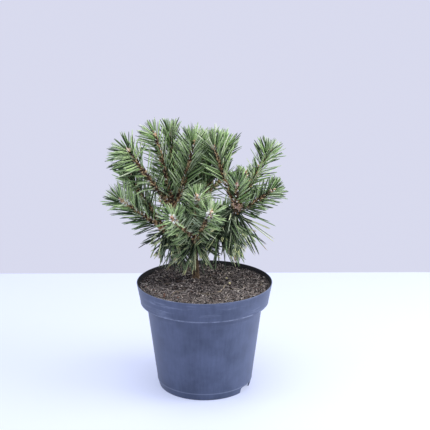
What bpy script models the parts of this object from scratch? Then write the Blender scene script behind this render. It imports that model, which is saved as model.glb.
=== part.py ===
# Potted dwarf mountain pine. Metres, +Z up, origin at the middle of the pot's flat underside.
# A turned nursery pot holds the soil. A short trunk stands on the soil and carries six boughs.
# Each bough carries brush-like shoots of needles at its tip and is ringed by a skirt of old needles.
import math
import random

import bmesh
import bpy
import numpy as np
from mathutils import Vector

# Clearance between pieces that touch, and the fineness of round things
GAP = 0.0003
POT_STEPS = 48
MERGE = 0.00005

# Pot: a tapered shell with a deep rim band, a chamfered foot and a raised floor round a flat centre pad
POT_HEIGHT = 0.180
RIM_RADIUS = 0.1125
BAND_HEIGHT = 0.034
BAND_BOTTOM_RADIUS = 0.1063
BODY_TOP_RADIUS = 0.0966
FOOT_TOP_RADIUS = 0.0800
FOOT_RADIUS = 0.0769
FOOT_HEIGHT = 0.012
WALL = 0.0016
LIP_ROUND = 0.0006
FOOT_CORNER = 0.0006
PAD_RADIUS = 0.048
PAD_SLOPE = 0.004
FLOOR_LIFT = 0.011

# Drainage notches cut through the foot, on opposite sides
NOTCH_AZIMUTHS = (-29, 151)
NOTCH_WIDTH = 0.032
NOTCH_HEIGHT = 0.0105
NOTCH_CORNER = 0.003
NOTCH_DEPTH = 0.012

# Soil: a low mound that is flat under the trunk
SOIL_EDGE = 0.173
SOIL_TOP = 0.178
SOIL_FLAT_RADIUS = 0.050

# Trunk: from a flat cut on the soil, with a root flare, to a rounded tip.
# Over each FLARE_HEIGHT the flare shrinks to about a third
TRUNK_FOOT = Vector((-0.014, 0.011, SOIL_TOP + GAP))
TRUNK_TIP_HEIGHT = 0.250
TRUNK_LEAN = Vector((-0.003, -0.008, 0.0))
TRUNK_RADIUS = 0.0052
TRUNK_TIP_RADIUS = 0.0042
FLARE_RADIUS = 0.0095
FLARE_HEIGHT = 0.0055
FLARE_RING = 0.35
TRUNK_RINGS = 8
TRUNK_SIDES = 12

# Latitudes of the rings that round off a limb's tip, and how soon a limb bends to its final run
TIP_ANGLES = (0, 38, 72)
BEND_SHARE = 0.3
AXIS_RINGS = 9

# Boughs: one tapering limb each, with a knuckle at the tip that the shoots stand on
BOUGH_ROOT_RADIUS = 0.0034
BOUGH_TIP_RADIUS = 0.0027
KNUCKLE_RADIUS = 0.0044
NECK = 1.1
BOUGH_RINGS = 7
BOUGH_SIDES = 8

# Shoots: this year's stems, each ending in a winter bud
STEM_ROOT_RADIUS = 0.0015
STEM_RADIUS = 0.0024
STEM_TIP_RADIUS = 0.0017
BUD_RADIUS = 0.0025
BUD_TIP_RADIUS = 0.0006
BUD_LENGTH = 0.008
BUD_WIDEST = 0.35
STEM_RINGS = 5
STEM_SIDES = 6

# Needles: three-sided spindles, each of them standing for several real needles
NEEDLE_ROOT_RADIUS = 0.0010
NEEDLE_RADIUS = 0.0019
WIDEST_SHARE = 0.4
NEEDLE_LENGTH = 0.039
LENGTH_RANGE = (0.90, 1.04)
NEEDLE_STEP = 0.0036
NEEDLE_FIRST = 0.12
NEEDLE_LAST = 0.97
SPLAY_BASE = 56
SPLAY_TIP = 26
SPLAY_JITTER = 7
TURN_JITTER = 14
GOLDEN_ANGLE = 137.5
OLD_NEEDLE_LENGTH = 0.053
OLD_LENGTH_RANGE = (0.82, 1.06)
OLD_NEEDLE_STEP = 0.0010
OLD_SPLAY = (62, 126)
OLD_DROOP = 0.35
SKIRT_WALL = 0.0015
SKIRT_SINK = 0.0009
SKIRT_SIDES = 8
SKIRT_RINGS = 5
SHORTEST_SHARE = 0.4
NEEDLE_CHECKS = 13

# Clear strip between the needles of two masses, and between needles and limbs or soil
NEEDLE_CLEAR = 0.00025
SOIL_CLEAR = 0.002

# bough: height where it leaves the trunk (None is the trunk's tip), azimuth, elevation, length,
# and how many degrees lower it sets out. Angles are in degrees, azimuth from +X towards +Y
BOUGHS = {
    "front": (0.227, -88, 50, 0.052, 14),
    "left": (0.231, -175, 40, 0.067, 14),
    "right": (0.240, -8, 46, 0.099, 12),
    "middle": (None, 172, 58, 0.064, 4),
    "back": (0.247, 78, 60, 0.074, 16),
    "back_low": (0.226, 87, 39, 0.048, 12),
}

# shoot: bough, share of the bough where it stands (1 is the knuckle), and the same four values
SHOOTS = {
    "shoot_left_high": ("middle", 1.0, -158, 53, 0.126, 15),
    "shoot_left_leader": ("middle", 1.0, -172, 77, 0.127, -8),
    "shoot_left_rear": ("middle", 1.0, 96, 71, 0.124, 26),
    "shoot_centre_high": ("middle", 1.0, -10, 72, 0.113, 30),
    "shoot_right_leader": ("right", 1.0, 178, 70, 0.108, 8),
    "shoot_right_high": ("right", 1.0, 20, 57, 0.106, 10),
    "shoot_right_front": ("right", 1.0, -90, 48, 0.069, 20),
    "shoot_right_rear": ("right", 1.0, 70, 40, 0.071, 14),
    "shoot_right_low": ("right", 0.86, -16, 33, 0.085, 16),
    "shoot_front_left": ("front", 1.0, -122, 36, 0.082, 12),
    "shoot_front_right": ("front", 1.0, -67, 42, 0.085, 12),
    "shoot_front_upper": ("front", 1.0, -84, 67, 0.082, -8),
    "shoot_left_low": ("left", 1.0, -159, 37, 0.088, 12),
    "shoot_left_middle": ("left", 1.0, 151, 51, 0.104, 6),
    "shoot_back_right": ("back", 1.0, 0, 65, 0.103, 20),
    "shoot_back_leader": ("back", 1.0, 42, 81, 0.096, -4),
    "shoot_back_rear": ("back", 1.0, 112, 54, 0.088, 22),
    "shoot_back_low": ("back", 1.0, 44, 30, 0.086, 8),
    "shoot_low_left": ("back_low", 1.0, 140, 28, 0.090, 12),
    "shoot_low_right": ("back_low", 1.0, 48, 12, 0.085, 4),
    "shoot_low_rear": ("back_low", 1.0, 95, 34, 0.085, 4),
}

# skirt of old needles: bough, and the shares of the bough between which it sits
SKIRTS = {
    "skirt_front": ("front", 0.30, 0.84),
    "skirt_left": ("left", 0.26, 0.88),
    "skirt_right": ("right", 0.30, 0.78),
    "skirt_middle": ("middle", 0.34, 0.88),
    "skirt_back": ("back", 0.30, 0.88),
    "skirt_back_low": ("back_low", 0.34, 0.84),
}


def clear_scene():
    for old in list(bpy.data.objects):
        bpy.data.objects.remove(old, do_unlink=True)


def new_collection(name):
    made = bpy.data.collections.new(name)
    bpy.context.scene.collection.children.link(made)
    return made


def make_material(name, colour, roughness):
    made = bpy.data.materials.new(name)
    made.use_nodes = True
    shader = made.node_tree.nodes["Principled BSDF"]
    shader.inputs["Base Color"].default_value = (*colour, 1.0)
    shader.inputs["Roughness"].default_value = roughness
    shader.inputs["Metallic"].default_value = 0.0
    return made


def place(name, data, collection, material):
    made = bpy.data.objects.new(name, data)
    collection.objects.link(made)
    data.materials.append(material)
    return made


def direction(azimuth, elevation):
    """Unit vector of a compass angle from +X and a height angle, both in degrees."""
    a, e = math.radians(azimuth), math.radians(elevation)
    return Vector((math.cos(a) * math.cos(e), math.sin(a) * math.cos(e), math.sin(e)))


def evaluated_mesh(source):
    """The object's final mesh, with its modifiers applied."""
    depsgraph = bpy.context.evaluated_depsgraph_get()
    return bpy.data.meshes.new_from_object(source.evaluated_get(depsgraph))


def solid_from_curve(curve):
    """A tube's mesh with its caps welded on. The curve is removed."""
    made = evaluated_mesh(curve)
    made.transform(curve.matrix_world)
    welded = bmesh.new()
    welded.from_mesh(made)
    bmesh.ops.remove_doubles(welded, verts=welded.verts, dist=MERGE)
    welded.to_mesh(made)
    welded.free()
    bpy.data.objects.remove(curve, do_unlink=True)
    return made


def turned(name, profile, collection, material):
    """A profile of (radius, height) pairs turned once round the Z axis."""
    mesh = bpy.data.meshes.new(name)
    outline = bmesh.new()
    points = [outline.verts.new((radius, 0, height)) for radius, height in profile]
    for first, second in zip(points, points[1:]):
        outline.edges.new((first, second))
    outline.to_mesh(mesh)
    outline.free()
    made = place(name, mesh, collection, material)
    screw = made.modifiers.new("turn", "SCREW")
    screw.axis = "Z"
    screw.steps = POT_STEPS
    screw.render_steps = POT_STEPS
    screw.use_merge_vertices = True
    screw.merge_threshold = MERGE
    return made


def tube(name, points, radii, collection, material, sides):
    """A round limb through points, with a radius at each of them and flat filled ends."""
    curve = bpy.data.curves.new(name, "CURVE")
    curve.dimensions = "3D"
    curve.bevel_depth = 1.0
    curve.bevel_resolution = (sides - 4) // 2
    curve.use_fill_caps = True
    curve.twist_mode = "MINIMUM"
    spline = curve.splines.new("POLY")
    spline.points.add(len(points) - 1)
    for knot, point, radius in zip(spline.points, points, radii):
        knot.co = (*point, 1.0)
        knot.radius = radius
    return place(name, curve, collection, material)


def limb_axis(start, first, end, rings):
    """Points of a limb that leaves start along first and soon bends towards end."""
    bend = start + first * ((end - start).length * BEND_SHARE)
    shares = [i / (rings - 1) for i in range(rings)]
    return [start.lerp(bend, share).lerp(bend.lerp(end, share), share) for share in shares]


def along(axis, share):
    """Point and unit direction at a share of a limb's length."""
    place_on_axis = min(max(share, 0.0), 1.0) * (len(axis) - 1)
    index = min(int(place_on_axis), len(axis) - 2)
    point = axis[index].lerp(axis[index + 1], place_on_axis - index)
    return point, (axis[index + 1] - axis[index]).normalized()


def rounded_end(radius):
    """Distance along and radius of the rings that round off a limb's tip."""
    return [(radius * math.sin(math.radians(a)), radius * math.cos(math.radians(a))) for a in TIP_ANGLES]


def pot_profile():
    floor_top = FLOOR_LIFT + WALL
    taper = (BODY_TOP_RADIUS - FOOT_TOP_RADIUS) / (POT_HEIGHT - BAND_HEIGHT - FOOT_HEIGHT)
    band_base = POT_HEIGHT - BAND_HEIGHT
    inner_top = BODY_TOP_RADIUS - WALL
    inner_floor = FOOT_TOP_RADIUS - WALL + taper * (floor_top - FOOT_HEIGHT)
    return [
        (0, WALL),
        (PAD_RADIUS - WALL, WALL),
        (PAD_RADIUS + PAD_SLOPE - WALL, floor_top),
        (inner_floor, floor_top),
        (inner_top, band_base + WALL),
        (BAND_BOTTOM_RADIUS - WALL, band_base + WALL),
        (RIM_RADIUS - WALL, POT_HEIGHT - LIP_ROUND),
        (RIM_RADIUS - WALL + LIP_ROUND, POT_HEIGHT),
        (RIM_RADIUS - LIP_ROUND, POT_HEIGHT),
        (RIM_RADIUS, POT_HEIGHT - LIP_ROUND),
        (BAND_BOTTOM_RADIUS, band_base),
        (BODY_TOP_RADIUS, band_base),
        (FOOT_TOP_RADIUS, FOOT_HEIGHT),
        (FOOT_RADIUS, 0),
        (FOOT_RADIUS - WALL, 0),
        (FOOT_TOP_RADIUS - WALL - FOOT_CORNER, FLOOR_LIFT),
        (PAD_RADIUS + PAD_SLOPE, FLOOR_LIFT),
        (PAD_RADIUS, 0),
        (0, 0),
    ]


def soil_profile():
    """The pot's inside taken in by the gap, closed by a low mound."""
    inside = pot_profile()[:7]
    fill = [(0, WALL + GAP)]
    for radius, height in inside[1:6]:
        fill.append((radius - GAP, height + GAP))
    low, high = Vector(inside[5]), Vector(inside[6])
    edge = low.lerp(high, (SOIL_EDGE - low.y) / (high.y - low.y))
    fill.append((edge.x - GAP, SOIL_EDGE))
    fill.append((SOIL_FLAT_RADIUS, SOIL_TOP))
    fill.append((0, SOIL_TOP))
    return fill[::-1]


def notch_cutter(azimuth, collection, material):
    """A slab with round upper corners, standing across the foot at one azimuth."""
    bpy.ops.mesh.primitive_cube_add(size=1)
    made = bpy.context.object
    made.name = f"notch_cutter_{azimuth}"
    height = NOTCH_HEIGHT * 2
    made.data.transform(
        ((NOTCH_DEPTH, 0, 0, 0), (0, NOTCH_WIDTH, 0, 0), (0, 0, height, 0), (0, 0, 0, 1))
    )
    rounding = made.modifiers.new("corners", "BEVEL")
    rounding.width = NOTCH_CORNER
    rounding.segments = 3
    made.rotation_euler.z = math.radians(azimuth)
    made.location = direction(azimuth, 0) * FOOT_RADIUS
    made.data.materials.append(material)
    for holder in list(made.users_collection):
        holder.objects.unlink(made)
    collection.objects.link(made)
    made.hide_render = True
    made.display_type = "WIRE"
    return made


def make_pot(parts, cutters, material):
    pot = turned("pot", pot_profile(), parts, material)
    for azimuth in NOTCH_AZIMUTHS:
        cut = pot.modifiers.new(f"notch_{azimuth}", "BOOLEAN")
        cut.operation = "DIFFERENCE"
        cut.solver = "EXACT"
        cut.object = notch_cutter(azimuth, cutters, material)


def make_soil(parts, material):
    turned("soil", soil_profile(), parts, material)


def trunk_point(height):
    """The trunk's middle at a height. It leans more towards its tip."""
    share = (height - TRUNK_FOOT.z) / (TRUNK_TIP_HEIGHT - TRUNK_FOOT.z)
    point = TRUNK_FOOT + TRUNK_LEAN * (share * share)
    point.z = height
    return point


def trunk_axis():
    rise = TRUNK_TIP_HEIGHT - TRUNK_FOOT.z
    return [trunk_point(TRUNK_FOOT.z + rise * i / (TRUNK_RINGS - 1)) for i in range(TRUNK_RINGS)]


def trunk_radius(height):
    rise = height - TRUNK_FOOT.z
    share = rise / (TRUNK_TIP_HEIGHT - TRUNK_FOOT.z)
    flare = (FLARE_RADIUS - TRUNK_RADIUS) * math.exp(-rise / FLARE_HEIGHT)
    return TRUNK_RADIUS + (TRUNK_TIP_RADIUS - TRUNK_RADIUS) * share + flare


def make_trunk(parts, material):
    axis = trunk_axis()
    lower = axis[0].lerp(axis[1], FLARE_RING)
    points = [axis[0], lower, *axis[1:]]
    radii = [trunk_radius(point.z) for point in points]
    for along_run, across in rounded_end(TRUNK_TIP_RADIUS)[1:]:
        points.append(axis[-1] + Vector((0, 0, along_run)))
        radii.append(across)
    tube("trunk", points, radii, parts, material, TRUNK_SIDES)
    return axis


def make_bough(name, parts, material):
    """Makes one bough and returns its axis and its radii."""
    height, azimuth, elevation, length, dip = BOUGHS[name]
    first = direction(azimuth, elevation - dip)
    steep = math.radians(elevation - dip)
    if height is None:
        reach = TRUNK_TIP_RADIUS + GAP
        start = trunk_point(TRUNK_TIP_HEIGHT) + first * reach
    else:
        clear = trunk_radius(height) + GAP + BOUGH_ROOT_RADIUS * math.sin(steep)
        reach = clear / math.cos(steep)
        start = trunk_point(height + BOUGH_ROOT_RADIUS) + direction(azimuth, 0) * clear
        start.z = height
    tip = start - first * reach + direction(azimuth, elevation) * length
    axis = limb_axis(start, first, tip, BOUGH_RINGS)
    end, last = axis[-1], (axis[-1] - axis[-2]).normalized()
    shares = [i / (BOUGH_RINGS - 1) for i in range(BOUGH_RINGS)]
    radii = [BOUGH_ROOT_RADIUS + (BOUGH_TIP_RADIUS - BOUGH_ROOT_RADIUS) * s for s in shares]
    points = [*axis[:-1], end - last * KNUCKLE_RADIUS * NECK]
    widths = [*radii[:-1], BOUGH_TIP_RADIUS]
    for along_run, across in rounded_end(KNUCKLE_RADIUS):
        points.append(end + last * along_run)
        widths.append(across)
    tube(f"bough_{name}", points, widths, parts, material, BOUGH_SIDES)
    return axis, radii


def shoot_axis(shoot, bough_axes):
    """A shoot's axis. It starts clear of the bough's knuckle or of the bough's side."""
    bough, share, azimuth, elevation, length, dip = SHOOTS[shoot]
    axis, radii = bough_axes[bough]
    first = direction(azimuth, elevation - dip)
    point, run = along(axis, share)
    if share >= 1:
        reach = KNUCKLE_RADIUS + GAP
    else:
        lean = abs(first.dot(run))
        width = radii[0] + (radii[-1] - radii[0]) * share
        reach = (width + GAP + STEM_ROOT_RADIUS * lean) / math.sqrt(1 - lean * lean)
    tip = point + direction(azimuth, elevation) * length
    return limb_axis(point + first * reach, first, tip, AXIS_RINGS)


class Spaces:
    """The room that each mass keeps to: nearer to its own stem than to any other mass's."""

    def __init__(self):
        self.ends = []
        self.owners = []
        self.limbs = []

    def add(self, owner, axis, limb_radius=0.0):
        for first, second in zip(axis, axis[1:]):
            self.ends.append((first, second))
            self.owners.append(owner)
            self.limbs.append(limb_radius)

    def close(self):
        starts = np.array([first for first, _ in self.ends])
        runs = np.array([second - first for first, second in self.ends])
        self.starts, self.runs = starts, runs
        self.lengths = (runs * runs).sum(1)
        self.names = np.array(self.owners)
        self.radii = np.array(self.limbs)

    def distances(self, point):
        away = np.array(point) - self.starts
        share = np.clip((away * self.runs).sum(1) / self.lengths, 0, 1)
        return np.linalg.norm(away - self.runs * share[:, None], axis=1)

    def holds(self, owner, carrier, point, room):
        """Whether a ball of radius room at point keeps to owner's space and off other limbs."""
        if point.z < SOIL_TOP + room + SOIL_CLEAR:
            return False
        reach = self.distances(point)
        limb = self.radii > 0
        own = self.names == owner
        rivals = ~limb & ~own
        others = limb & (self.names != carrier)
        if (reach[others] < self.radii[others] + room).any():
            return False
        return reach[rivals].min() - reach[own].min() > 2 * room


def needle_end(root, aim, length, owner, carrier, spaces):
    """The tip of a needle cut to its mass's space, or None where too little of it is left."""
    reached = 0
    for i in range(1, NEEDLE_CHECKS + 1):
        share = i / NEEDLE_CHECKS
        taper = min(1, (1 - share) / (1 - WIDEST_SHARE))
        room = NEEDLE_RADIUS * taper + NEEDLE_CLEAR
        if not spaces.holds(owner, carrier, root + aim * (length * share), room):
            break
        reached = share
    return root + aim * (length * reached) if reached >= SHORTEST_SHARE else None


def add_needle(target, root, tip):
    """A three-sided spindle: a widening cone and a pointed one, end to end."""
    run = tip - root
    middle = root.lerp(tip, WIDEST_SHARE)
    turn = run.to_track_quat("Z", "Y").to_matrix().to_4x4()
    stretches = ((root, middle, NEEDLE_ROOT_RADIUS, NEEDLE_RADIUS), (middle, tip, NEEDLE_RADIUS, 0))
    for low, high, low_radius, high_radius in stretches:
        turn.translation = (low + high) / 2
        bmesh.ops.create_cone(
            target,
            cap_ends=False,
            segments=3,
            radius1=low_radius,
            radius2=high_radius,
            depth=(high - low).length,
            matrix=turn,
        )
    bmesh.ops.remove_doubles(target, verts=target.verts, dist=MERGE)
    bmesh.ops.holes_fill(target, edges=target.edges)
    bmesh.ops.recalc_face_normals(target, faces=target.faces)


def spread(axis_run, splay, turn):
    """A direction that leans by splay degrees off a stem, turned round it."""
    side = axis_run.orthogonal().normalized()
    other = axis_run.cross(side)
    a, s = math.radians(turn), math.radians(splay)
    return axis_run * math.cos(s) + (side * math.cos(a) + other * math.sin(a)) * math.sin(s)


def shoot_needles(axis, length, dice):
    """Root, aim and length of each needle of a shoot, in a spiral up its stem."""
    count = round(length / NEEDLE_STEP)
    for i in range(count):
        share = NEEDLE_FIRST + (NEEDLE_LAST - NEEDLE_FIRST) * (i + 0.5) / count
        root, run = along(axis, share)
        splay = SPLAY_BASE + (SPLAY_TIP - SPLAY_BASE) * share * share
        splay += dice.uniform(-SPLAY_JITTER, SPLAY_JITTER)
        aim = spread(run, splay, i * GOLDEN_ANGLE + dice.uniform(-TURN_JITTER, TURN_JITTER))
        yield root, aim, NEEDLE_LENGTH * dice.uniform(*LENGTH_RANGE)


def skirt_needles(axis, length, dice):
    """Root, aim and length of each old needle round a bough, drooping outwards."""
    count = round(length / OLD_NEEDLE_STEP)
    for i in range(count):
        root, run = along(axis, (i + 0.5) / count)
        turn = i * GOLDEN_ANGLE + dice.uniform(-TURN_JITTER, TURN_JITTER)
        aim = spread(run, dice.uniform(*OLD_SPLAY), turn)
        aim = (aim - Vector((0, 0, OLD_DROOP))).normalized()
        yield root, aim, OLD_NEEDLE_LENGTH * dice.uniform(*OLD_LENGTH_RANGE)


def islands(shape):
    """The faces of a bmesh in connected groups, largest first."""
    groups, seen = [], set()
    for face in shape.faces:
        if face in seen:
            continue
        group, waiting = [], [face]
        seen.add(face)
        while waiting:
            current = waiting.pop()
            group.append(current)
            for edge in current.edges:
                for neighbour in edge.link_faces:
                    if neighbour not in seen:
                        seen.add(neighbour)
                        waiting.append(neighbour)
        groups.append(group)
    return sorted(groups, key=len, reverse=True)


def keep_main_body(mesh):
    """Drops loose scraps and the skins of sealed hollows. True where the rest is closed."""
    shape = bmesh.new()
    shape.from_mesh(mesh)
    scraps = [face for group in islands(shape)[1:] for face in group]
    bmesh.ops.delete(shape, geom=scraps, context="FACES")
    closed = all(len(edge.link_faces) == 2 for edge in shape.edges)
    shape.to_mesh(mesh)
    shape.free()
    return closed


def join_by_union(name, core, needles, parts, material):
    """One Boolean union of a core mesh and loose needles, applied as one closed mesh."""
    pieces = new_collection(f"{name}_pieces")
    for index, (root, tip) in enumerate(needles):
        spike = bmesh.new()
        add_needle(spike, root, tip)
        mesh = bpy.data.meshes.new(f"{name}_needle_{index}")
        spike.to_mesh(mesh)
        spike.free()
        place(mesh.name, mesh, pieces, material)
    base = place(f"{name}_core", core, parts, material)
    union = base.modifiers.new("needles", "BOOLEAN")
    union.operation = "UNION"
    union.operand_type = "COLLECTION"
    union.collection = pieces
    for solver in ("EXACT", "MANIFOLD"):
        union.solver = solver
        joined = evaluated_mesh(base)
        if keep_main_body(joined):
            break
    else:
        raise RuntimeError(f"{name} did not fuse into one closed body")
    bpy.data.objects.remove(base, do_unlink=True)
    for spike in list(pieces.objects):
        bpy.data.objects.remove(spike, do_unlink=True)
    bpy.data.collections.remove(pieces)
    return place(name, joined, parts, material)


def make_shoot(name, axis, seed, spaces, parts, material):
    dice = random.Random(seed)
    length = SHOOTS[name][4]
    points, radii = [], []
    for i in range(STEM_RINGS):
        share = i / (STEM_RINGS - 1)
        points.append(along(axis, share)[0])
        radii.append(STEM_RADIUS + (STEM_TIP_RADIUS - STEM_RADIUS) * share)
    radii[0] = STEM_ROOT_RADIUS
    end, last = along(axis, 1.0)
    points += [end + last * BUD_LENGTH * BUD_WIDEST, end + last * BUD_LENGTH]
    radii += [BUD_RADIUS, BUD_TIP_RADIUS]
    core = solid_from_curve(tube(f"{name}_stem", points, radii, parts, material, STEM_SIDES))
    needles = []
    for root, aim, reach in shoot_needles(axis, length, dice):
        tip = needle_end(root, aim, reach, name, name, spaces)
        if tip is not None:
            needles.append((root, tip))
    join_by_union(name, core, needles, parts, material)


def skirt_axis(name, bough_axes):
    bough, low, high = SKIRTS[name]
    axis, _ = bough_axes[bough]
    shares = [low + (high - low) * i / (SKIRT_RINGS - 1) for i in range(SKIRT_RINGS)]
    return [along(axis, share)[0] for share in shares]


def make_skirt(name, bough_axes, seed, spaces, parts, cutters, material):
    """Old needles on a sleeve round a bough. The sleeve is bored out clear of the bough."""
    dice = random.Random(seed)
    bough, low, high = SKIRTS[name]
    axis, radii = bough_axes[bough]
    run = skirt_axis(name, bough_axes)
    outer = max(radii) + GAP + SKIRT_WALL
    widths = [outer] * len(run)
    core = solid_from_curve(tube(f"{name}_sleeve", run, widths, parts, material, SKIRT_SIDES))
    length = BOUGHS[bough][3] * (high - low)
    needles = []
    for root, aim, reach in skirt_needles(run, length, dice):
        tip = needle_end(root, aim, reach, name, f"bough_{bough}", spaces)
        if tip is not None:
            needles.append((root + aim * (outer - SKIRT_SINK), tip))
    skirt = join_by_union(name, core, needles, parts, material)
    widths = [max(radii) + GAP] * len(axis)
    bore = solid_from_curve(tube(f"{name}_hole", axis, widths, cutters, material, SKIRT_SIDES))
    cutter = place(f"{name}_bore", bore, cutters, material)
    cutter.hide_render = True
    cutter.display_type = "WIRE"
    cut = skirt.modifiers.new("bore", "BOOLEAN")
    cut.operation = "DIFFERENCE"
    cut.solver = "EXACT"
    cut.object = cutter


def main():
    clear_scene()
    parts = new_collection("potted_dwarf_mountain_pine")
    cutters = new_collection("cutters")
    plastic = make_material("pot_plastic", (0.060, 0.075, 0.115), 0.50)
    earth = make_material("soil", (0.050, 0.040, 0.034), 0.95)
    bark = make_material("bark", (0.130, 0.085, 0.055), 0.90)
    fresh = make_material("needles", (0.070, 0.150, 0.050), 0.55)
    old = make_material("old_needles", (0.060, 0.110, 0.045), 0.60)

    make_pot(parts, cutters, plastic)
    make_soil(parts, earth)
    trunk = make_trunk(parts, bark)
    bough_axes = {name: make_bough(name, parts, bark) for name in BOUGHS}

    spaces = Spaces()
    spaces.add("trunk", trunk, TRUNK_RADIUS)
    for name, (axis, radii) in bough_axes.items():
        spaces.add(f"bough_{name}", axis, max(radii))
    shoot_axes = {name: shoot_axis(name, bough_axes) for name in SHOOTS}
    for name, axis in shoot_axes.items():
        spaces.add(name, axis)
    for name in SKIRTS:
        spaces.add(name, skirt_axis(name, bough_axes))
    spaces.close()

    for seed, (name, axis) in enumerate(shoot_axes.items(), start=1):
        make_shoot(name, axis, seed, spaces, parts, fresh)
    for seed, name in enumerate(SKIRTS, start=101):
        make_skirt(name, bough_axes, seed, spaces, parts, cutters, old)


main()
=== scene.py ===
import math

import bmesh
import bpy
import numpy as np
from mathutils import Matrix, Vector, noise


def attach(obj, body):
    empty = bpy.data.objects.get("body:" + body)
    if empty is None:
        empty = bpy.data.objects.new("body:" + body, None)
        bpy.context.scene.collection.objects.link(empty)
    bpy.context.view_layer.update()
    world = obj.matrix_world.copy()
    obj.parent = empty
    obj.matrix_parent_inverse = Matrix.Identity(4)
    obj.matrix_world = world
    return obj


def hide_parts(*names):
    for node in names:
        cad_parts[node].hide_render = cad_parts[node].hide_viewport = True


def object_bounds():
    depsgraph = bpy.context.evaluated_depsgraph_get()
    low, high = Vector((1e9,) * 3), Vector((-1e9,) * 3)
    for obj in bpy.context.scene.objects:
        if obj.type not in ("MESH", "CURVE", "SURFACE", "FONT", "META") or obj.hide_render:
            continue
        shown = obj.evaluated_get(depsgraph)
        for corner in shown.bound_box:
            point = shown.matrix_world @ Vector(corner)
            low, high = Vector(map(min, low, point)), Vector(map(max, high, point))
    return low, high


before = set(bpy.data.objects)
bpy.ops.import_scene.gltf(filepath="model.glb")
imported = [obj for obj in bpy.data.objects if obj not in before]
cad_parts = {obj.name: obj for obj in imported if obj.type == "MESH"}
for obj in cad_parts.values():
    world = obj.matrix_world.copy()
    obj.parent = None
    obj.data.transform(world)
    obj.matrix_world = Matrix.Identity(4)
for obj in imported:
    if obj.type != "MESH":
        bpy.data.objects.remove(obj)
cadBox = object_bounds()
cadLow, cadHigh = np.array(cadBox[0]), np.array(cadBox[1])
print("frame loaded:", len(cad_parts), "nodes")


# Shader maths as Python sums

def overload(operation, reflected=False):
    def apply(link, other):
        return link.sheet.sum(operation, *((other, link) if reflected else (link, other)))
    return apply


class Link:  # an output socket that can be added, multiplied and so on
    def __init__(self, sheet, socket):
        self.sheet = sheet
        self.socket = socket

    def __abs__(self):
        return self.sheet.sum("ABSOLUTE", self, 0)

    __add__, __radd__ = overload("ADD"), overload("ADD", True)
    __sub__, __rsub__ = overload("SUBTRACT"), overload("SUBTRACT", True)
    __mul__, __rmul__ = overload("MULTIPLY"), overload("MULTIPLY", True)


class Sheet:  # one material and the nodes in it
    def __init__(self, name, fixed):
        self.material = bpy.data.materials.new(name)
        self.material.use_nodes = True
        self.tree = self.material.node_tree
        self.shader = self.tree.nodes["Principled BSDF"]
        for socket, value in fixed.items():
            self.feed(self.shader.inputs[socket], value)

    def feed(self, socket, value):
        if isinstance(value, Link):
            self.tree.links.new(value.socket, socket)
        elif socket.type == "RGBA":
            socket.default_value = (*value, 1.0)
        else:
            socket.default_value = value

    def node(self, kind, settings, inputs, output=0):
        made = self.tree.nodes.new(kind)
        for key, value in settings.items():
            setattr(made, key, value)
        for key, value in inputs.items():
            self.feed(made.inputs[key], value)
        return Link(self, made.outputs[output])

    def sum(self, operation, first, second):
        sides = (first, second)
        if any(isinstance(side, Link) and side.socket.type == "VECTOR" for side in sides):
            sides = [(side,) * 3 if isinstance(side, (int, float)) else side for side in sides]
            return self.node("ShaderNodeVectorMath", {"operation": operation}, dict(enumerate(sides)))
        return self.node("ShaderNodeMath", {"operation": operation}, dict(enumerate(sides)))

    def place(self):
        return self.node("ShaderNodeTexCoord", {}, {}, "Object")

    def grain(self, where, scale, detail=3, rough=0.5):
        inputs = {"Vector": where, "Scale": scale, "Detail": detail, "Roughness": rough}
        return self.node("ShaderNodeTexNoise", {}, inputs)

    def patches(self, where, scale, detail, rough, low, high):
        # grain, spread so that low is 0 and high is 1
        return self.span(self.grain(where, scale, detail, rough), low, high)

    def span(self, value, low, high, first=0.0, last=1.0):
        inputs = {0: value, 1: low, 2: high, 3: first, 4: last}
        return self.node("ShaderNodeMapRange", {"clamp": True}, inputs)

    def blend(self, share, first, second):
        return self.node("ShaderNodeMix", {"data_type": "RGBA"}, {0: share, 6: first, 7: second}, 2)

    def paint(self, socket, value):
        self.feed(self.shader.inputs[socket], value)

    def bump(self, height, strength, distance):
        inputs = {"Height": height, "Strength": strength, "Distance": distance}
        self.paint("Normal", self.node("ShaderNodeBump", {}, inputs))


# Camera, floor and light

camera = {
    "place": (0.0, -1.5136, 0.6985),
    "pitchDown": 15.0,
    "turn": 0.66,
    "lens": 80.4,
    "sensor": 36.0,
    "frame": 430,
}


def cameraAim():
    pitch, turn = math.radians(camera["pitchDown"]), math.radians(camera["turn"])
    return Vector((math.sin(turn) * math.cos(pitch), math.cos(turn) * math.cos(pitch), -math.sin(pitch)))


def makeCamera():
    data = bpy.data.cameras.new("camera")
    data.lens = camera["lens"]
    data.sensor_width = camera["sensor"]
    made = bpy.data.objects.new("camera", data)
    made.location = camera["place"]
    made.rotation_euler = cameraAim().to_track_quat("-Z", "Y").to_euler()
    bpy.context.scene.collection.objects.link(made)
    bpy.context.scene.camera = made


def cameraAxes():
    ahead = cameraAim()
    right = ahead.cross(Vector((0, 0, 1))).normalized()
    return ahead, right, right.cross(ahead)


def onLevel(pixel, height):  # the point at a height that the photograph shows at a pixel
    ahead, right, up = cameraAxes()
    reach = camera["sensor"] / camera["lens"] / camera["frame"]
    middle = camera["frame"] / 2
    ray = ahead + right * ((pixel[0] - middle) * reach) + up * ((middle - pixel[1]) * reach)
    start = Vector(camera["place"])
    return start + ray * ((height - start.z) / ray.z)


def toPixels(points):  # where the photograph shows each point
    ahead, right, up = (np.array(axis) for axis in cameraAxes())
    away = points - np.array(camera["place"])
    scale = camera["lens"] / camera["sensor"] * camera["frame"] / (away @ ahead)
    middle = camera["frame"] / 2
    return middle + (away @ right) * scale, middle - (away @ up) * scale, away @ ahead


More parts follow.
